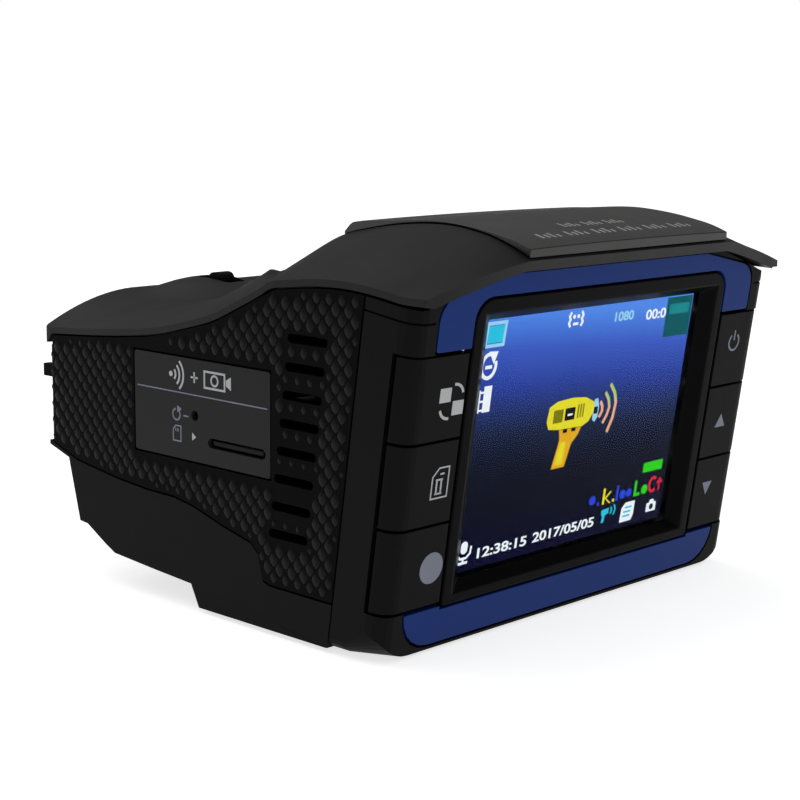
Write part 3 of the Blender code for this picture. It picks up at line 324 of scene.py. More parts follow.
NODE_MATERIAL = {
    "top_cover": "cover", "top_plate": "plate", "side_panel_left": "side", "side_panel_right": "side",
    "bottom_cover": "bottom", "front_panel": "frame", "rear_frame": "frame", "screen_bezel": "bezel",
    "blue_trim_upper": "blue", "blue_trim_lower": "blue", "nameplate": "nameplate", "base_pad": "rubber",
    "front_window": "window", "lens_barrel": "frame", "lens_ring": "lens", "lens_glass": "lens_glass",
    "lens_body": "lens", "sensor_board": "board", "camera_bracket": "inner", "horn_antenna": "horn",
    "radar_board": "board", "laser_lens": "lens_glass", "laser_sensor": "inner", "lcd_glass": "film_clear",
    "lcd_module": "steel", "key_board_left": "board", "key_board_right": "board", "main_board": "board",
    "card_socket": "steel", "memory_card": "card", "reset_switch": "inner", "reset_button": "plunger",
    "power_jack": "steel", "jack_tongue": "inner", "battery": "film", "speaker": "inner",
    "microphone": "steel",
}


def node_material(name):
    if name in NODE_MATERIAL:
        return MAT[NODE_MATERIAL[name]]
    if name.startswith("key_"):
        return MAT["key"]
    if name.startswith("screw_"):
        return MAT["screw"]
    return MAT["plunger" if name.endswith("_plunger") else "inner"]


# ---------------------------------------------------------------- shape helpers

def to_object(name, shape, material=None):
    mesh = bpy.data.meshes.new(name)
    bmesh.ops.recalc_face_normals(shape, faces=shape.faces)
    shape.to_mesh(mesh)
    shape.free()
    found = bpy.data.objects.new(name, mesh)
    bpy.context.scene.collection.objects.link(found)
    if material is not None:
        mesh.materials.append(material)
    return found


def settle(target):
    """Turn an object's modifiers into plain mesh."""
    bpy.context.view_layer.update()
    mesh = bpy.data.meshes.new_from_object(target.evaluated_get(bpy.context.evaluated_depsgraph_get()))
    target.modifiers.clear()
    target.data = mesh
    return target


def cut(target, other):
    """Take one shape out of another."""
    change = target.modifiers.new(other.name, "BOOLEAN")
    change.operation = "DIFFERENCE"
    change.solver = "EXACT"
    change.object = other
    settle(target)
    bpy.data.objects.remove(other, do_unlink=True)


def refine(target, width, segments=3, angle=28.0, weld=True):
    """Round the edges of a shape and shade its large faces flat, without touching its own mesh."""
    if weld:
        target.modifiers.new("weld", "WELD").merge_threshold = 0.002 * MM
        flat = target.modifiers.new("flat", "DECIMATE")
        flat.decimate_type = "DISSOLVE"
        flat.angle_limit = math.radians(0.4)
    if width > 0:
        change = target.modifiers.new("rounding", "BEVEL")
        change.width = width
        change.segments = segments
        change.limit_method = "ANGLE"
        change.angle_limit = math.radians(angle)
        change.use_clamp_overlap = True
        change.harden_normals = False
    normals = target.modifiers.new("shading", "WEIGHTED_NORMAL")
    normals.keep_sharp = True
    normals.weight = 60


def smooth(target, angle=40.0):
    target.data.shade_smooth()
    target.data.set_sharp_from_angle(angle=math.radians(angle))


def rounded(corners, radius, steps=8):
    """Outline through the corners with every corner turned into an arc; a third number is its own radius."""
    points = []
    count = len(corners)
    for index in range(count):
        corner = Vector(corners[index][:2])
        own = corners[index][2] if len(corners[index]) > 2 else radius
        before = (Vector(corners[index - 1][:2]) - corner).normalized()
        after = (Vector(corners[(index + 1) % count][:2]) - corner).normalized()
        if own <= 0:
            points.append(corner)
            continue
        half = before.angle(after) / 2
        reach = own / math.tan(half)
        centre = corner + (before + after).normalized() * own / math.sin(half)
        start = corner + before * reach - centre
        turn = start.angle_signed(corner + after * reach - centre)
        for step in range(steps + 1):
            points.append(centre + Matrix.Rotation(-turn * step / steps, 2) @ start)
    return points


def prism(shape, outline, low, high, place):
    """Add to a mesh an outline (in mm) drawn out between two lifts; place(u, v, lift) puts each corner."""
    under = [shape.verts.new(place(u, v, low)) for u, v in outline]
    over = [shape.verts.new(place(u, v, high)) for u, v in outline]
    shape.faces.new(under)
    shape.faces.new(list(reversed(over)))
    count = len(outline)
    for index in range(count):
        after = (index + 1) % count
        shape.faces.new((under[after], under[index], over[index], over[after]))


def marks(name, polygons, place, low, high, material, body):
    """One piece made of flat printed or lit shapes, in mm, laid on the surface that place describes."""
    shape = bmesh.new()
    for outline in polygons:
        prism(shape, outline, low, high, place)
    piece = to_object(name, shape, material)
    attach(piece, body)
    return piece


def disc(x, y, radius, count=28, squash=1.0):
    turns = [2 * math.pi * i / count for i in range(count)]
    return [(x + radius * math.cos(turn), y + radius * squash * math.sin(turn)) for turn in turns]


def stroke(points, width, closed=False):
    """A line of even width through the points, as one polygon for each stretch."""
    pts = [Vector(p) for p in points]
    count = len(pts)
    sides = []
    for index in range(count):
        before = pts[index] - pts[index - 1] if index or closed else pts[1] - pts[0]
        after = pts[(index + 1) % count] - pts[index] if index < count - 1 or closed else before
        if not index and not closed:
            before = after
        across = (before.normalized() + after.normalized()).normalized()
        across = Vector((-across.y, across.x))
        reach = width / 2 / max(abs(across.dot(Vector((-before.y, before.x)).normalized())), 0.4)
        sides.append((pts[index] + across * reach, pts[index] - across * reach))
    last = count if closed else count - 1
    out = []
    for index in range(last):
        (a, b), (c, d) = sides[index], sides[(index + 1) % count]
        out.append([tuple(a), tuple(c), tuple(d), tuple(b)])
    return out


def arc(x, y, radius, start, end, count=14, squash=1.0):
    turns = [math.radians(start + (end - start) * i / count) for i in range(count + 1)]
    return [(x + radius * math.cos(turn), y + radius * squash * math.sin(turn)) for turn in turns]


def bar(x0, y0, x1, y1):
    return [(x0, y0), (x1, y0), (x1, y1), (x0, y1)]


def on_face(u, v, lift):
    return FACE @ Vector((u * MM, v * MM, lift * MM))


def on_left(u, v, lift):
    """Place on the left side: u runs from the nose to the screen, v is height."""
    return Vector((-HALF_WIDTH - lift * MM, -u * MM, v * MM))


# ---------------------------------------------------------------- housing surface

def smooth_value(knots, place):
    """Height of a smooth curve through the knots (y, z), in mm."""
    count = len(knots)
    if place <= knots[0][0]:
        return knots[0][1]
    if place >= knots[-1][0]:
        return knots[-1][1]
    index = max(i for i in range(count - 1) if knots[i][0] <= place)
    (y0, z0), (y1, z1) = knots[index], knots[index + 1]

    def slope(i):
        low, high = max(i - 1, 0), min(i + 1, count - 1)
        return (knots[high][1] - knots[low][1]) / (knots[high][0] - knots[low][0])

    span = y1 - y0
    t = (place - y0) / span
    return (
        z0 * (1 + 2 * t) * (1 - t) ** 2 + slope(index) * span * t * (1 - t) ** 2
        + z1 * t * t * (3 - 2 * t) + slope(index + 1) * span * t * t * (t - 1))


def smoothstep(value):
    value = min(max(value, 0.0), 1.0)
    return value * value * (3 - 2 * value)


def cover_height(x, y):
    """Outer surface of the top cover: a hump with sloping flanks over the screen, then a nose."""
    ridge = smooth_value(COVER_RIDGE, y / MM) * MM
    edge = smooth_value(COVER_EDGE, y / MM) * MM + COVER_SKIRT
    flank = min(max((abs(x) - PLATEAU_HALF) / (HALF_WIDTH - PLATEAU_HALF), 0.0), 1.0)
    hump = ridge + (edge - ridge) * flank
    round_in = min(max((abs(x) - NOSE_FLAT_HALF) / (HALF_WIDTH - NOSE_FLAT_HALF), 0.0), 1.0)
    nose = ridge + (edge - ridge) * round_in ** 1.9
    crease_y = -11 * MM + min(HALF_WIDTH - abs(x), 18 * MM) * 0.94
    blend = smoothstep((y - crease_y + 1.0 * MM) / (2 * MM))
    away_x = (x + 16.0 * MM) / (10.5 * MM)
    away_y = (y - 30.0 * MM) / (12.5 * MM)
    mound = 2.9 * MM * max(1 - away_x ** 2 - away_y ** 2, 0.0) ** 1.15
    return hump * (1 - blend) + nose * blend + mound


def setback(x, y):
    """How far the hood's front edge draws back towards its ends."""
    flank = max((abs(x) - PLATEAU_HALF) / (HALF_WIDTH - PLATEAU_HALF), 0.0)
    return HOOD_SETBACK * flank * max((-34 * MM - y) / (-34 * MM - LIP_Y), 0.0)


def nose_half_width(y):
    past = y - (COVER_FRONT_Y - NOSE_CORNER)
    if past <= 0:
        return HALF_WIDTH
    return HALF_WIDTH - NOSE_CORNER + math.sqrt(max(NOSE_CORNER ** 2 - past ** 2, 0.0))


def surface_grid(columns, stations, height):
    """Net of quads over the housing, with columns and stations in mm and height(x, y) in metres."""
    shape = bmesh.new()
    rows = []
    for station in stations:
        y = station * MM
        squeeze = nose_half_width(y) / HALF_WIDTH
        row = []
        for column in columns:
            x = column * MM * squeeze
            place = y + setback(x, y)
            row.append(shape.verts.new((x, place, height(x, place))))
        rows.append(row)
    for lower, upper in zip(rows, rows[1:]):
        for index in range(len(lower) - 1):
            shape.faces.new((lower[index], lower[index + 1], upper[index + 1], upper[index]))
    return shape


def steps(start, end, count):
    return [start + (end - start) * i / count for i in range(count + 1)]


def lens_opening_points():
    """Upright round-ended opening, in mm as (x, z)."""
    half_width, half_height = LENS_OPENING
    straight = half_height - half_width
    points = []
    for step in range(64):
        angle = 2 * math.pi * step / 64
        lift = straight if math.sin(angle) >= 0 else -straight
        points.append(((BARREL_CENTRE.x + half_width * math.cos(angle)) / MM,
                       (BARREL_CENTRE.z + half_width * math.sin(angle) + lift) / MM))
    return points


def cutter(name, outline, low, high, place):
    shape = bmesh.new()
    prism(shape, outline, low, high, place)
    return to_object(name, shape)


def make_top_cover():
    """Top shell with a skirt round its edge, the lens opening and the thumb slot."""
    half = HALF_WIDTH / MM
    columns = steps(-half, -24, 12) + steps(-24, 24, 34)[1:] + steps(24, half, 12)[1:]
    stations = steps(-43.7, -34, 9) + steps(-34, -13, 14)[1:] + steps(-13, 12, 36)[1:] \
        + steps(12, 41.8, 30)[1:] + [42.1, 42.4, 42.6, 42.75, 42.8]
    shape = surface_grid(columns, stations, cover_height)
    rim = [e for e in shape.edges if e.is_boundary and not (
        len({round(v.co.x, 7) for v in e.verts}) == 2 and max(v.co.y for v in e.verts) < -40 * MM)]
    grown = bmesh.ops.extrude_edge_only(shape, edges=rim)
    for vert in [v for v in grown["geom"] if isinstance(v, bmesh.types.BMVert)]:
        front = smoothstep((vert.co.y - 40.7 * MM) / (1.4 * MM))
        edge = smooth_value(COVER_EDGE, vert.co.y / MM) * MM
        vert.co.z = edge * (1 - front) + COVER_FRONT_Z * front
    cover = to_object("cover_shell", shape, MAT["cover"])
    change = cover.modifiers.new("shell", "SOLIDIFY")
    change.thickness = COVER_WALL
    change.offset = -1.0
    change.use_even_offset = True
    change = cover.modifiers.new("rounding", "BEVEL")
    change.width = 0.7 * MM
    change.segments = 4
    change.limit_method = "ANGLE"
    change.angle_limit = math.radians(42)
    change.use_clamp_overlap = True
    settle(cover)
    cut(cover, cutter("lens_way", lens_opening_points(), 36.0, 47.0,
                          lambda u, v, w: Vector((u * MM, w * MM, v * MM))))
    cut(cover, cutter("thumb_way", rounded(THUMB_WAY, 1.2, 8), 42.0, 55.0,
                      lambda u, v, w: Vector((u * MM, v * MM, w * MM))))
    smooth(cover, 35)
    refine(cover, 0.0, weld=False)
    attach(cover, "shell")
    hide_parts("top_cover")
    return cover


def plate_height(x, y):
    half = PLATEAU_HALF - 0.7 * MM
    return smooth_value(PLATE_TOP, y / MM) * MM + 0.2 * MM * (1 - (x / half) ** 2)


def make_top_plate():
    """Raised plate on the hood that carries the printed marks."""
    half = PLATEAU_HALF / MM - 0.7
    stations = steps(-43.3, -34, 12) + steps(-34, -9.5, 24)[1:] + steps(-9.5, -7.8, 3)[1:]
    shape = surface_grid(steps(-half, half, 30), stations, plate_height)
    bmesh.ops.recalc_face_normals(shape, faces=shape.faces)
    lift = bmesh.ops.extrude_face_region(shape, geom=shape.faces[:])
    for vert in [v for v in lift["geom"] if isinstance(v, bmesh.types.BMVert)]:
        vert.co.z = smooth_value(COVER_RIDGE, vert.co.y / MM) * MM + GAP * 0.5
    plate = to_object("hood_plate", shape, MAT["plate"])
    refine(plate, 0.35 * MM, 3, 45, weld=False)
    smooth(plate, 50)
    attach(plate, "shell")
    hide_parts("top_plate")
    return plate


def make_seam_lips():
    """Tongue inside each side panel that closes the seam under the cover's edge."""
    outer = HALF_WIDTH / MM - SIDE_WALL / MM - 0.1
    inner = outer - 0.8
    stations = steps(-26.0, 38.0, 40)
    for side, label in ((-1, "left"), (1, "right")):
        shape = bmesh.new()
        rings = []
        for y in stations:
            edge = smooth_value(COVER_EDGE, y)
            rings.append([shape.verts.new((side * x * MM, y * MM, (edge + z) * MM))
                          for x, z in ((outer, -2.2), (outer, 0.5), (inner, 0.5), (inner, -2.2))])
        for low, high in zip(rings, rings[1:]):
            for index in range(4):
                after = (index + 1) % 4
                shape.faces.new((low[index], low[after], high[after], high[index]))
        shape.faces.new(rings[0])
        shape.faces.new(rings[-1])
        bmesh.ops.recalc_face_normals(shape, faces=shape.faces)
        lip = to_object(f"seam_lip_{label}", shape, MAT["inner"])
        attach(lip, "shell")


# ---------------------------------------------------------------- textured sides

def seam_y(z, inset):
    """Where a line parallel to the sloping screen face, and inset behind it, stands at height z, in mm."""
    return FACE_ORIGIN.y / MM + (inset - (z - FACE_ORIGIN.z / MM) * math.sin(FACE_TILT)) / math.cos(FACE_TILT)


def grain_point(side, y, z):
    """Whether the point (y, z) keeps clear of the panel's edges, vents and nameplate."""
    top = smooth_value(COVER_EDGE, y) - 0.3
    lower = PANEL_LOWER[0][1]
    for (ya, za), (yb, zb) in zip(PANEL_LOWER, PANEL_LOWER[1:]):
        if yb <= y <= ya:
            lower = zb + (za - zb) * (y - yb) / max(ya - yb, 0.01)
    if y < PANEL_LOWER[-1][0]:
        lower = 7.4
    if not (seam_y(z, FRAME_DEPTH / MM) + 0.5 < y < 41.2 and lower + 0.4 < z < top - 0.25):
        return False
    if side < 0 and -11.7 < y < 19.7 and 22.5 < z < 38.8:
        return False
    if side > 0 and -5.0 < y < 4.0 and 24.7 < z < 30.1:
        return False
    for row in range(VENT_COUNT):
        centre = VENT_TOP - row * VENT_PITCH
        start = seam_y(centre, VENT_INSET)
        if abs(z - centre) < VENT_SIZE[1] / 2 + 0.2 and start - 0.25 < y < start + VENT_SIZE[0] + 0.25:
            return False
    return True


def grain_size(side, y, z):
    """Largest share of the full bump that fits at (y, z), or zero."""
    tips = [(1, 0), (-1, 0), (0, 1), (0, -1)]
    edges = [(0.55, 0.55), (-0.55, 0.55), (0.55, -0.55), (-0.55, -0.55)]
    for share in GRAIN_SHARES:
        if all(grain_point(side, y + GRAIN_HALF[0] * share * a, z + GRAIN_HALF[1] * share * b)
               for a, b in tips + edges):
            return share
    return 0.0


def add_bump(shape, side, y, z, share):
    """One diamond bump, made of rings that rise to a small flat top."""
    def pull(value):
        return math.copysign(abs(value) ** 1.3, value)

    rings = []
    for reach, lift in GRAIN_RINGS:
        x = side * HALF_WIDTH + side * lift * share * MM
        ring = []
        for step in range(GRAIN_CORNERS):
            angle = 2 * math.pi * step / GRAIN_CORNERS
            off_y = GRAIN_HALF[0] * share * reach * pull(math.cos(angle))
            off_z = GRAIN_HALF[1] * share * reach * pull(math.sin(angle))
            ring.append(shape.verts.new((x, (y + off_y) * MM, (z + off_z) * MM)))
        rings.append(ring)
    for low, high in zip(rings, rings[1:]):
        for step in range(GRAIN_CORNERS):
            after = (step + 1) % GRAIN_CORNERS
            shape.faces.new((low[step], low[after], high[after], high[step]))
    shape.faces.new(rings[-1])
    shape.faces.new(rings[0])


def make_grain(side):
    """Moulded diamond grain: low lens-shaped bumps in a staggered pattern."""
    shape = bmesh.new()
    pitch_y, pitch_z = GRAIN_PITCH
    row = 0
    z = 3.5
    while z < 55:
        y = -32.0 + (pitch_y / 2 if row % 2 else 0.0)
        while y < 41.5:
            share = grain_size(side, y, z)
            if share > 0:
                add_bump(shape, side, y, z, share)
            y += pitch_y
        z += pitch_z
        row += 1
    label = "left" if side < 0 else "right"
    # The bumps take the lighter knurl colour, a painted highlight against the darker panel between them.
    grain = to_object(f"side_grain_{label}", shape, MAT["knurl"])
    smooth(grain, 60)
    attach(grain, "shell")


# ---------------------------------------------------------------- display

def make_picture():
    """Lit picture under the display's clear cover, with simple icons and digits."""
    half_x, half_y = (value + PICTURE_MARGIN for value in ACTIVE_HALF)
    outline = bar(-half_x, ACTIVE_CENTRE_Y - half_y, half_x, ACTIVE_CENTRE_Y + half_y)
    shape = bmesh.new()
    prism(shape, outline, *PICTURE_LIFT, lambda u, v, w: Vector((u, v, w)) * MM)
    picture = to_object("display_picture", shape, MAT["picture"])
    picture.matrix_world = FACE
    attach(picture, "shell")
    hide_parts("lcd_glass")
    half_x, half_y = GLASS_HALF
    outline = bar(-half_x, GLASS_CENTRE_Y - half_y, half_x, GLASS_CENTRE_Y + half_y)
    shape = bmesh.new()
    prism(shape, rounded(outline, 0.6, 3), *GLASS_LIFT, lambda u, v, w: Vector((u, v, w)) * MM)
    cover = to_object("display_cover", shape, MAT["film_clear"])
    cover.matrix_world = FACE
    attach(cover, "shell")

    def lit(name, polygons, material, level=1):
        low = PICTURE_LIFT[1]
        marks("lit_" + name, polygons, on_face, low, low + 0.03 * level, MAT[material], "shell")

    lit("mode_frame", stroke([(-24.0, 13.7), (-20.2, 13.7), (-20.0, 16.9), (-23.8, 16.9)], 0.5, True), "pale")
    lit("mode_core", [bar(-23.6, 14.1, -20.4, 16.5)], "cyan")
    lit("loop", stroke(arc(-22.7, 10.8, 1.5, 70, 380, 20, 1.15), 0.55)
        + [[(-22.9, 12.9), (-21.0, 12.8), (-21.7, 11.0)], bar(-23.4, 10.4, -22.0, 10.9)], "white")
    lit("card_icon", [bar(-23.0, 4.1, -21.4, 7.9), bar(-24.9, 4.1, -24.5, 7.0), bar(-24.1, 4.1, -23.7, 7.4),
                      bar(-24.9, 6.9, -23.0, 7.2), bar(-24.9, 5.6, -23.0, 5.9), bar(-24.9, 4.3, -23.0, 4.6)],
        "white")
    lit("scene_icon", stroke([(-5.6, 17.0), (-6.0, 16.4), (-5.7, 15.9), (-6.0, 15.4), (-5.6, 14.8)], 0.42)
        + stroke([(-3.2, 17.0), (-2.8, 16.4), (-3.1, 15.9), (-2.8, 15.4), (-3.2, 14.8)], 0.42)
        + [disc(-4.9, 16.3, 0.32, 12), disc(-3.9, 16.3, 0.32, 12), bar(-5.0, 15.0, -3.8, 15.4)], "white")
    lit("patch", [bar(18.0, 11.0, 24.5, 17.3)], "teal", 1)
    lit("patch_glow", [bar(18.8, 14.6, 23.9, 16.2)], "teal_light", 2)

    lit("gun_body", [[(-7.7, 2.9), (-6.0, 3.6), (-2.5, 3.8), (0.7, 3.5), (2.95, 2.5), (2.9, 0.8),
                      (2.0, -0.4), (0.5, -1.0), (-5.4, -0.8), (-7.4, -0.5), (-8.0, 0.7)]], "yellow", 1)
    lit("gun_grip", [[(-4.8, -0.9), (0.4, -1.1), (-0.2, -2.2), (-1.5, -3.4), (-2.5, -6.9), (-5.5, -6.9),
                      (-4.4, -2.5)]], "amber", 1)
    lit("gun_grip_light", [[(-4.1, -2.9), (-2.9, -2.9), (-3.2, -6.3), (-4.9, -6.3)]], "yellow", 2)
    lit("gun_screen", [bar(-3.9, 0.4, -1.6, 2.3)], "dark", 2)
    lit("gun_screen_mark", [bar(-3.3, 1.1, -2.2, 1.4)], "white", 3)
    lit("gun_shade", [bar(-6.6, 0.3, -4.4, 2.3), bar(-1.0, 0.5, -0.7, 2.6), bar(-0.4, 0.5, -0.1, 2.6),
                      bar(0.2, 0.5, 0.5, 2.6)], "olive", 2)
    lit("gun_trigger", [bar(-3.9, -1.5, -2.9, -0.9), bar(-1.9, -1.5, -0.9, -0.9)], "dark", 2)
    lit("gun_muzzle", [[(2.9, -0.3), (3.5, -0.7), (4.1, 0.0), (4.2, 1.6), (3.7, 3.0), (2.9, 2.9)]],
        "pale", 1)
    lit("gun_muzzle_dark", [bar(3.0, 0.6, 3.9, 1.7)], "dark", 2)
    lit("wave_1", stroke([(4.4, 2.4), (5.0, 1.6), (5.1, 0.8), (4.5, -0.1)], 0.55), "peach")
    lit("wave_2", stroke([(5.4, 3.7), (6.4, 2.5), (6.8, 1.2), (6.4, 0.0), (5.6, -1.2)], 0.55), "peach")
    lit("wave_3", stroke([(6.4, 4.9), (7.7, 3.4), (8.3, 1.8), (8.0, -0.6), (7.0, -2.8)], 0.6), "peach")
    lit("wave_2_light", stroke([(5.5, 3.75), (6.5, 2.5), (6.8, 1.6)], 0.3), "leaf", 2)
    lit("wave_3_light", stroke([(6.5, 4.95), (7.8, 3.4), (8.3, 2.2)], 0.35), "leaf", 2)

    lit("level", [bar(18.3, -11.1, 23.3, -9.5)], "green")
    lit("band_1", [disc(6.0, -13.7, 0.8, 16, 0.9), disc(7.6, -14.5, 0.28, 10)], "indigo")
    lit("band_2", [bar(8.6, -14.8, 9.1, -12.2), [(9.1, -13.8), (10.3, -12.9), (10.7, -12.9), (9.5, -13.9),
                   (10.8, -14.8), (10.3, -14.8)], disc(11.4, -14.5, 0.28, 10)], "yellow")
    lit("band_3", [bar(12.0, -14.8, 12.5, -12.2), disc(13.7, -13.9, 0.75, 14), disc(15.3, -13.9, 0.7, 14)],
        "indigo")
    lit("band_4", [bar(16.7, -14.8, 17.2, -12.2), bar(16.7, -14.8, 18.2, -14.3),
                   disc(19.4, -14.0, 0.8, 14)], "green")
    lit("band_5", stroke(arc(21.6, -13.5, 1.0, 50, 310, 12, 1.15), 0.5)
        + [bar(23.1, -14.7, 23.5, -12.6), bar(22.6, -13.5, 24.1, -13.1)], "red")
    lit("beam", [[(8.8, -15.8), (10.6, -15.6), (10.6, -16.5), (9.8, -16.7), (9.6, -17.9), (9.0, -17.9),
                  (9.2, -16.8), (8.8, -16.6)]] + stroke([(11.1, -15.6), (11.4, -16.1), (11.1, -16.7)], 0.3)
        + stroke([(11.9, -15.3), (12.3, -16.1), (11.9, -17.0)], 0.3), "cyan")
    lit("sheet", [[(13.9, -18.7), (16.8, -18.7), (17.3, -17.8), (17.3, -15.5), (14.9, -15.5),
                   (14.0, -16.4)]], "white")
    lit("sheet_marks", [bar(14.5, -17.9, 16.3, -17.6), bar(14.6, -17.2, 16.4, -16.9),
                        bar(14.9, -16.5, 16.6, -16.2)], "cyan", 2)
    lit("camera_icon", [[(20.7, -18.1), (23.2, -18.1), (23.2, -16.6), (22.6, -16.6), (22.4, -16.1),
                         (21.5, -16.1), (21.3, -16.6), (20.7, -16.6)]], "white")
    lit("camera_icon_eye", [disc(21.95, -17.3, 0.5, 14)], "dark", 2)
    lit("mic", [rounded([(-23.7, -16.9), (-22.3, -16.9), (-22.3, -15.0), (-23.7, -15.0)], 0.65, 4),
                bar(-23.2, -18.3, -22.8, -17.4), bar(-24.0, -18.5, -22.0, -18.1)]
        + stroke([(-24.5, -15.9), (-24.4, -17.0), (-23.6, -17.6), (-22.4, -17.6), (-21.6, -17.0),
                  (-21.5, -15.9)], 0.35), "white")

    def digits(name, words, left, right, foot, height, material="white"):
        """Digits stretched to fill the width between left and right."""
        curve = bpy.data.curves.new(name, "FONT")
        curve.body = words
        curve.extrude = 0.015 * MM
        curve.size = height / 0.7 * MM
        curve.offset = 0.045 * MM
        text = bpy.data.objects.new(name, curve)
        bpy.context.scene.collection.objects.link(text)
        bpy.context.view_layer.update()
        mesh = bpy.data.meshes.new_from_object(text.evaluated_get(bpy.context.evaluated_depsgraph_get()))
        bpy.data.objects.remove(text, do_unlink=True)
        start = min(v.co.x for v in mesh.vertices)
        width = max(v.co.x for v in mesh.vertices) - start
        for vert in mesh.vertices:
            vert.co.x = left * MM + (vert.co.x - start) / width * (right - left) * MM
            vert.co.y += foot * MM
            vert.co.z += -2.48 * MM
        piece = bpy.data.objects.new("lit_" + name, mesh)
        bpy.context.scene.collection.objects.link(piece)
        mesh.materials.clear()
        mesh.materials.append(MAT[material])
        piece.matrix_world = FACE
        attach(piece, "shell")

    digits("clock", "12:38:15", -20.0, -9.0, -18.1, 1.5)
    digits("date", "2017/05/05", -7.6, 7.1, -18.0, 1.5)
    digits("lines", "1080", 5.0, 9.6, 14.7, 1.4, "pale")
    digits("timer", "00:0", 12.8, 17.9, 14.3, 1.5)


# ---------------------------------------------------------------- printed symbols

def printed(name, polygons, place, body, material="print_grey", low=-0.02, high=0.035):
    marks("print_" + name, polygons, place, low, high, MAT[material], body)


def make_key_symbols():
    """Printed symbols, one on each key."""
    printed("switch_view", [bar(-34.9, 7.6, -32.7, 9.6), bar(-32.2, 5.6, -30.0, 7.6)]
            + stroke(arc(-32.0, 8.2, 1.75, 15, 95, 8), 0.4) + stroke(arc(-32.9, 7.0, 1.75, 195, 275, 8), 0.4),
            on_face, "key_camera")
    printed("document", stroke([(-34.4, -6.0), (-31.2, -6.0), (-31.2, -1.7), (-33.2, -1.7), (-34.4, -2.9)],
                               0.22, True)
            + [bar(-33.6, -5.4, -33.3, -3.4), bar(-32.7, -5.4, -32.4, -3.4), bar(-33.7, -3.5, -32.3, -3.25),
               bar(-33.7, -5.5, -32.3, -5.25), bar(-32.9, -2.7, -32.1, -2.45)], on_face, "key_menu")
    printed("record", [disc(-32.45, -16.3, 2.3, 40)], on_face, "key_record", "print_dim")
    printed("power", stroke(arc(34.5, 9.3, 1.35, 125, 415, 24), 0.34) + [bar(34.33, 9.6, 34.67, 11.2)],
            on_face, "key_power", "print_dim")
    printed("up", [[(32.9, -4.9), (35.7, -4.9), (34.3, -2.7)]], on_face, "key_up", "print_dim")
    printed("down", [[(32.1, -14.2), (34.7, -14.2), (33.4, -16.4)]], on_face, "key_down", "print_dim")


def make_nameplate_marks():
    """Neutral symbols where the real plate carries words, and the line that parts them."""
    lo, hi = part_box("nameplate")
    back, front = lo.y / MM, hi.y / MM

    def at(name, polygons, material="print_grey"):
        printed("plate_" + name, polygons, on_left, "shell", material)

    at("line", [bar(-front + 0.6, 32.9, -back - 0.5, 33.08)], "print_dim")
    # radar waves, a cross and a camera
    waves = []
    for radius in (0.9, 1.8, 2.7):
        waves += stroke(arc(-10.4, 35.6, radius, -50, 50, 8), 0.36)
    at("waves", waves + [disc(-10.6, 35.6, 0.42, 14)])
    at("cross", [bar(-6.0, 35.45, -4.4, 35.75), bar(-5.35, 34.8, -5.05, 36.4)])
    at("camera", stroke([(-2.9, 34.4), (1.6, 34.4), (1.6, 36.8), (-2.9, 36.8)], 0.32, True)
       + stroke(arc(-0.65, 35.6, 0.75, 0, 345, 16), 0.3, True)
       + [[(1.9, 35.2), (3.0, 34.6), (3.0, 36.6), (1.9, 36.0)]])
    at("restart", stroke(arc(-9.4, 29.6, 0.85, 100, 400, 14), 0.24)
       + [[(-9.2, 31.0), (-9.2, 29.9), (-8.2, 30.5)]], "print_dim")
    at("restart_line", [bar(-7.8, 29.48, -6.6, 29.7)], "print_dim")
    at("card", stroke([(-10.2, 25.6), (-8.4, 25.6), (-8.4, 27.9), (-9.6, 27.9), (-10.2, 27.3)], 0.2, True)
       + [bar(-9.7, 27.0, -9.5, 27.5), bar(-9.2, 27.0, -9.0, 27.5)], "print_dim")
    at("pointer", [[(-5.8, 26.1), (-5.8, 27.3), (-4.9, 26.7)]])


def make_hood_marks():
    """Two rows of neutral bars on the hood plate, in place of its words."""
    def place(u, v, lift):
        return Vector((u * MM, v * MM, plate_height(u * MM, v * MM) + lift * MM))

    for name, start, end, y0, y1, count in (("upper", -8.0, 7.5, -37.0, -35.2, 15),
                                            ("lower", -17.5, 19.5, -40.7, -39.0, 30)):
        polygons = []
        pitch = (end - start) / count
        for index in range(count):
            if index % 5 == 4:
                continue
            x = start + pitch * index
            tall = (1.0, 0.7, 1.0, 0.55, 1.0)[index % 5]
            polygons.append(bar(x, y0, x + pitch * 0.42, y0 + (y1 - y0) * tall))
        printed("hood_" + name, polygons, place, "shell", "print_grey")


# ---------------------------------------------------------------- carried-over nodes

def dress_nodes():
    """Give every carried-over CAD node its material and softly rounded edges (widths in mm)."""
    widths = {
        "side_panel_left": 0.25, "side_panel_right": 0.25, "bottom_cover": 0.45, "rear_frame": 0.3,
        "front_panel": 0.25, "screen_bezel": 0.35, "blue_trim_upper": 0.35, "blue_trim_lower": 0.35,
        "nameplate": 0.12, "base_pad": 0.4, "front_window": 0.25, "lens_barrel": 0.3, "lens_ring": 0.2,
        "memory_card": 0.15, "power_jack": 0.15, "camera_bracket": 0.2,
    }
    for name, node in NODES.items():
        node.data.materials.clear()
        node.data.materials.append(node_material(name))
        for polygon in node.data.polygons:
            polygon.material_index = 0
        width = 0.3 if name.startswith("key_") and "board" not in name else widths.get(name, 0.1)
        refine(node, width * MM, 3)


# ---------------------------------------------------------------- stage

def area_light(name, place, target, size, energy, color=(1, 1, 1)):
    data = bpy.data.lights.new(name, "AREA")
    data.energy = energy
    data.color = color
    data.shape = "RECTANGLE"
    data.size, data.size_y = size
    light = bpy.data.objects.new(name, data)
    bpy.context.scene.collection.objects.link(light)
    light.location = place
    light.rotation_euler = (Vector(target) - Vector(place)).to_track_quat("-Z", "Y").to_euler()


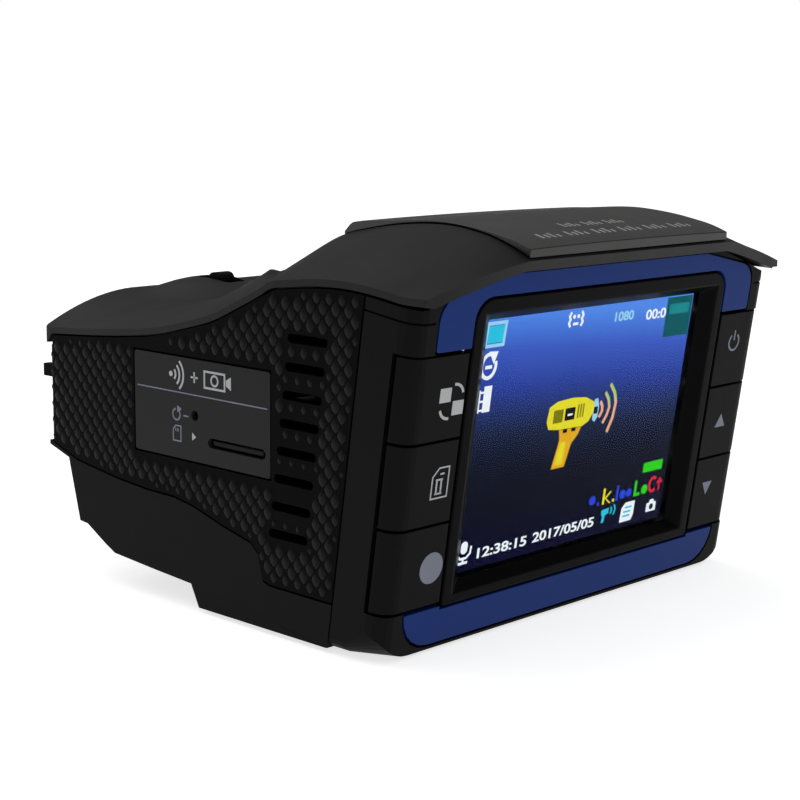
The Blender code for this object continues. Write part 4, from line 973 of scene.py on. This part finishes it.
def make_stage():
    """Pale floor, soft studio lights and the camera."""
    scene = bpy.context.scene
    shape = bmesh.new()
    bmesh.ops.create_grid(shape, x_segments=2, y_segments=2, size=12.0)
    floor = to_object("floor", shape, None)
    material, nodes, links = new_material("floor_white")
    shader = nodes["Principled BSDF"]
    shader.inputs["Base Color"].default_value = (0.93, 0.93, 0.93, 1)
    shader.inputs["Emission Color"].default_value = (1, 1, 1, 1)
    shader.inputs["Emission Strength"].default_value = 0.72
    shader.inputs["Roughness"].default_value = 0.9
    shader.inputs["Specular IOR Level"].default_value = 0.0
    floor.data.materials.append(material)

    world = bpy.data.worlds.new("studio")
    scene.world = world
    world.use_nodes = True
    nodes, links = world.node_tree.nodes, world.node_tree.links
    background = nodes["Background"]
    seen = nodes.new("ShaderNodeBackground")
    seen.inputs["Color"].default_value = (1, 1, 1, 1)
    seen.inputs["Strength"].default_value = 1.0
    path = nodes.new("ShaderNodeLightPath")
    mix = nodes.new("ShaderNodeMixShader")
    place = nodes.new("ShaderNodeTexCoord")
    parts = nodes.new("ShaderNodeSeparateXYZ")
    ramp = nodes.new("ShaderNodeValToRGB")
    ramp.color_ramp.elements[0].position = 0.0
    ramp.color_ramp.elements[0].color = (0.2, 0.2, 0.2, 1)
    ramp.color_ramp.elements[1].position = 0.9
    ramp.color_ramp.elements[1].color = (1.0, 1.0, 1.0, 1)
    links.new(place.outputs["Generated"], parts.inputs["Vector"])
    links.new(parts.outputs["Z"], ramp.inputs["Fac"])
    links.new(ramp.outputs["Color"], background.inputs["Color"])
    background.inputs["Strength"].default_value = 0.42
    links.new(path.outputs["Is Camera Ray"], mix.inputs["Fac"])
    links.new(background.outputs["Background"], mix.inputs[1])
    links.new(seen.outputs["Background"], mix.inputs[2])
    links.new(mix.outputs["Shader"], nodes["World Output"].inputs["Surface"])

    area_light("top_light", (-0.1, 0.5, 0.8), (0, 0, 0.03), (1.0, 1.0), 2.6)
    area_light("front_light", (0.1, -0.9, 0.55), (0, 0, 0.03), (0.6, 0.4), 0.6)
    scene.view_settings.view_transform = "Standard"

    camera = bpy.data.cameras.new("camera")
    camera.sensor_width = 36.0
    camera.lens = CAMERA_LENS
    camera.clip_start = 0.01
    holder = bpy.data.objects.new("camera", camera)
    scene.collection.objects.link(holder)
    azimuth, elevation, roll = (math.radians(value) for value in CAMERA_TURN)
    forward = Vector((math.sin(azimuth) * math.cos(elevation), math.cos(azimuth) * math.cos(elevation),
                      -math.sin(elevation)))
    right = forward.cross(Vector((0, 0, 1))).normalized()
    down = forward.cross(right)
    across = right * math.cos(roll) + down * math.sin(roll)
    below = down * math.cos(roll) - right * math.sin(roll)
    turn = Matrix((across, -below, -forward)).transposed().to_4x4()
    turn.translation = Vector(CAMERA_PLACE)
    holder.matrix_world = turn
    scene.camera = holder


dress_nodes()
make_top_cover()
make_top_plate()
make_seam_lips()
make_grain(-1)
make_grain(1)
make_picture()
make_key_symbols()
make_nameplate_marks()
make_hood_marks()
make_stage()

bpy.context.view_layer.update()
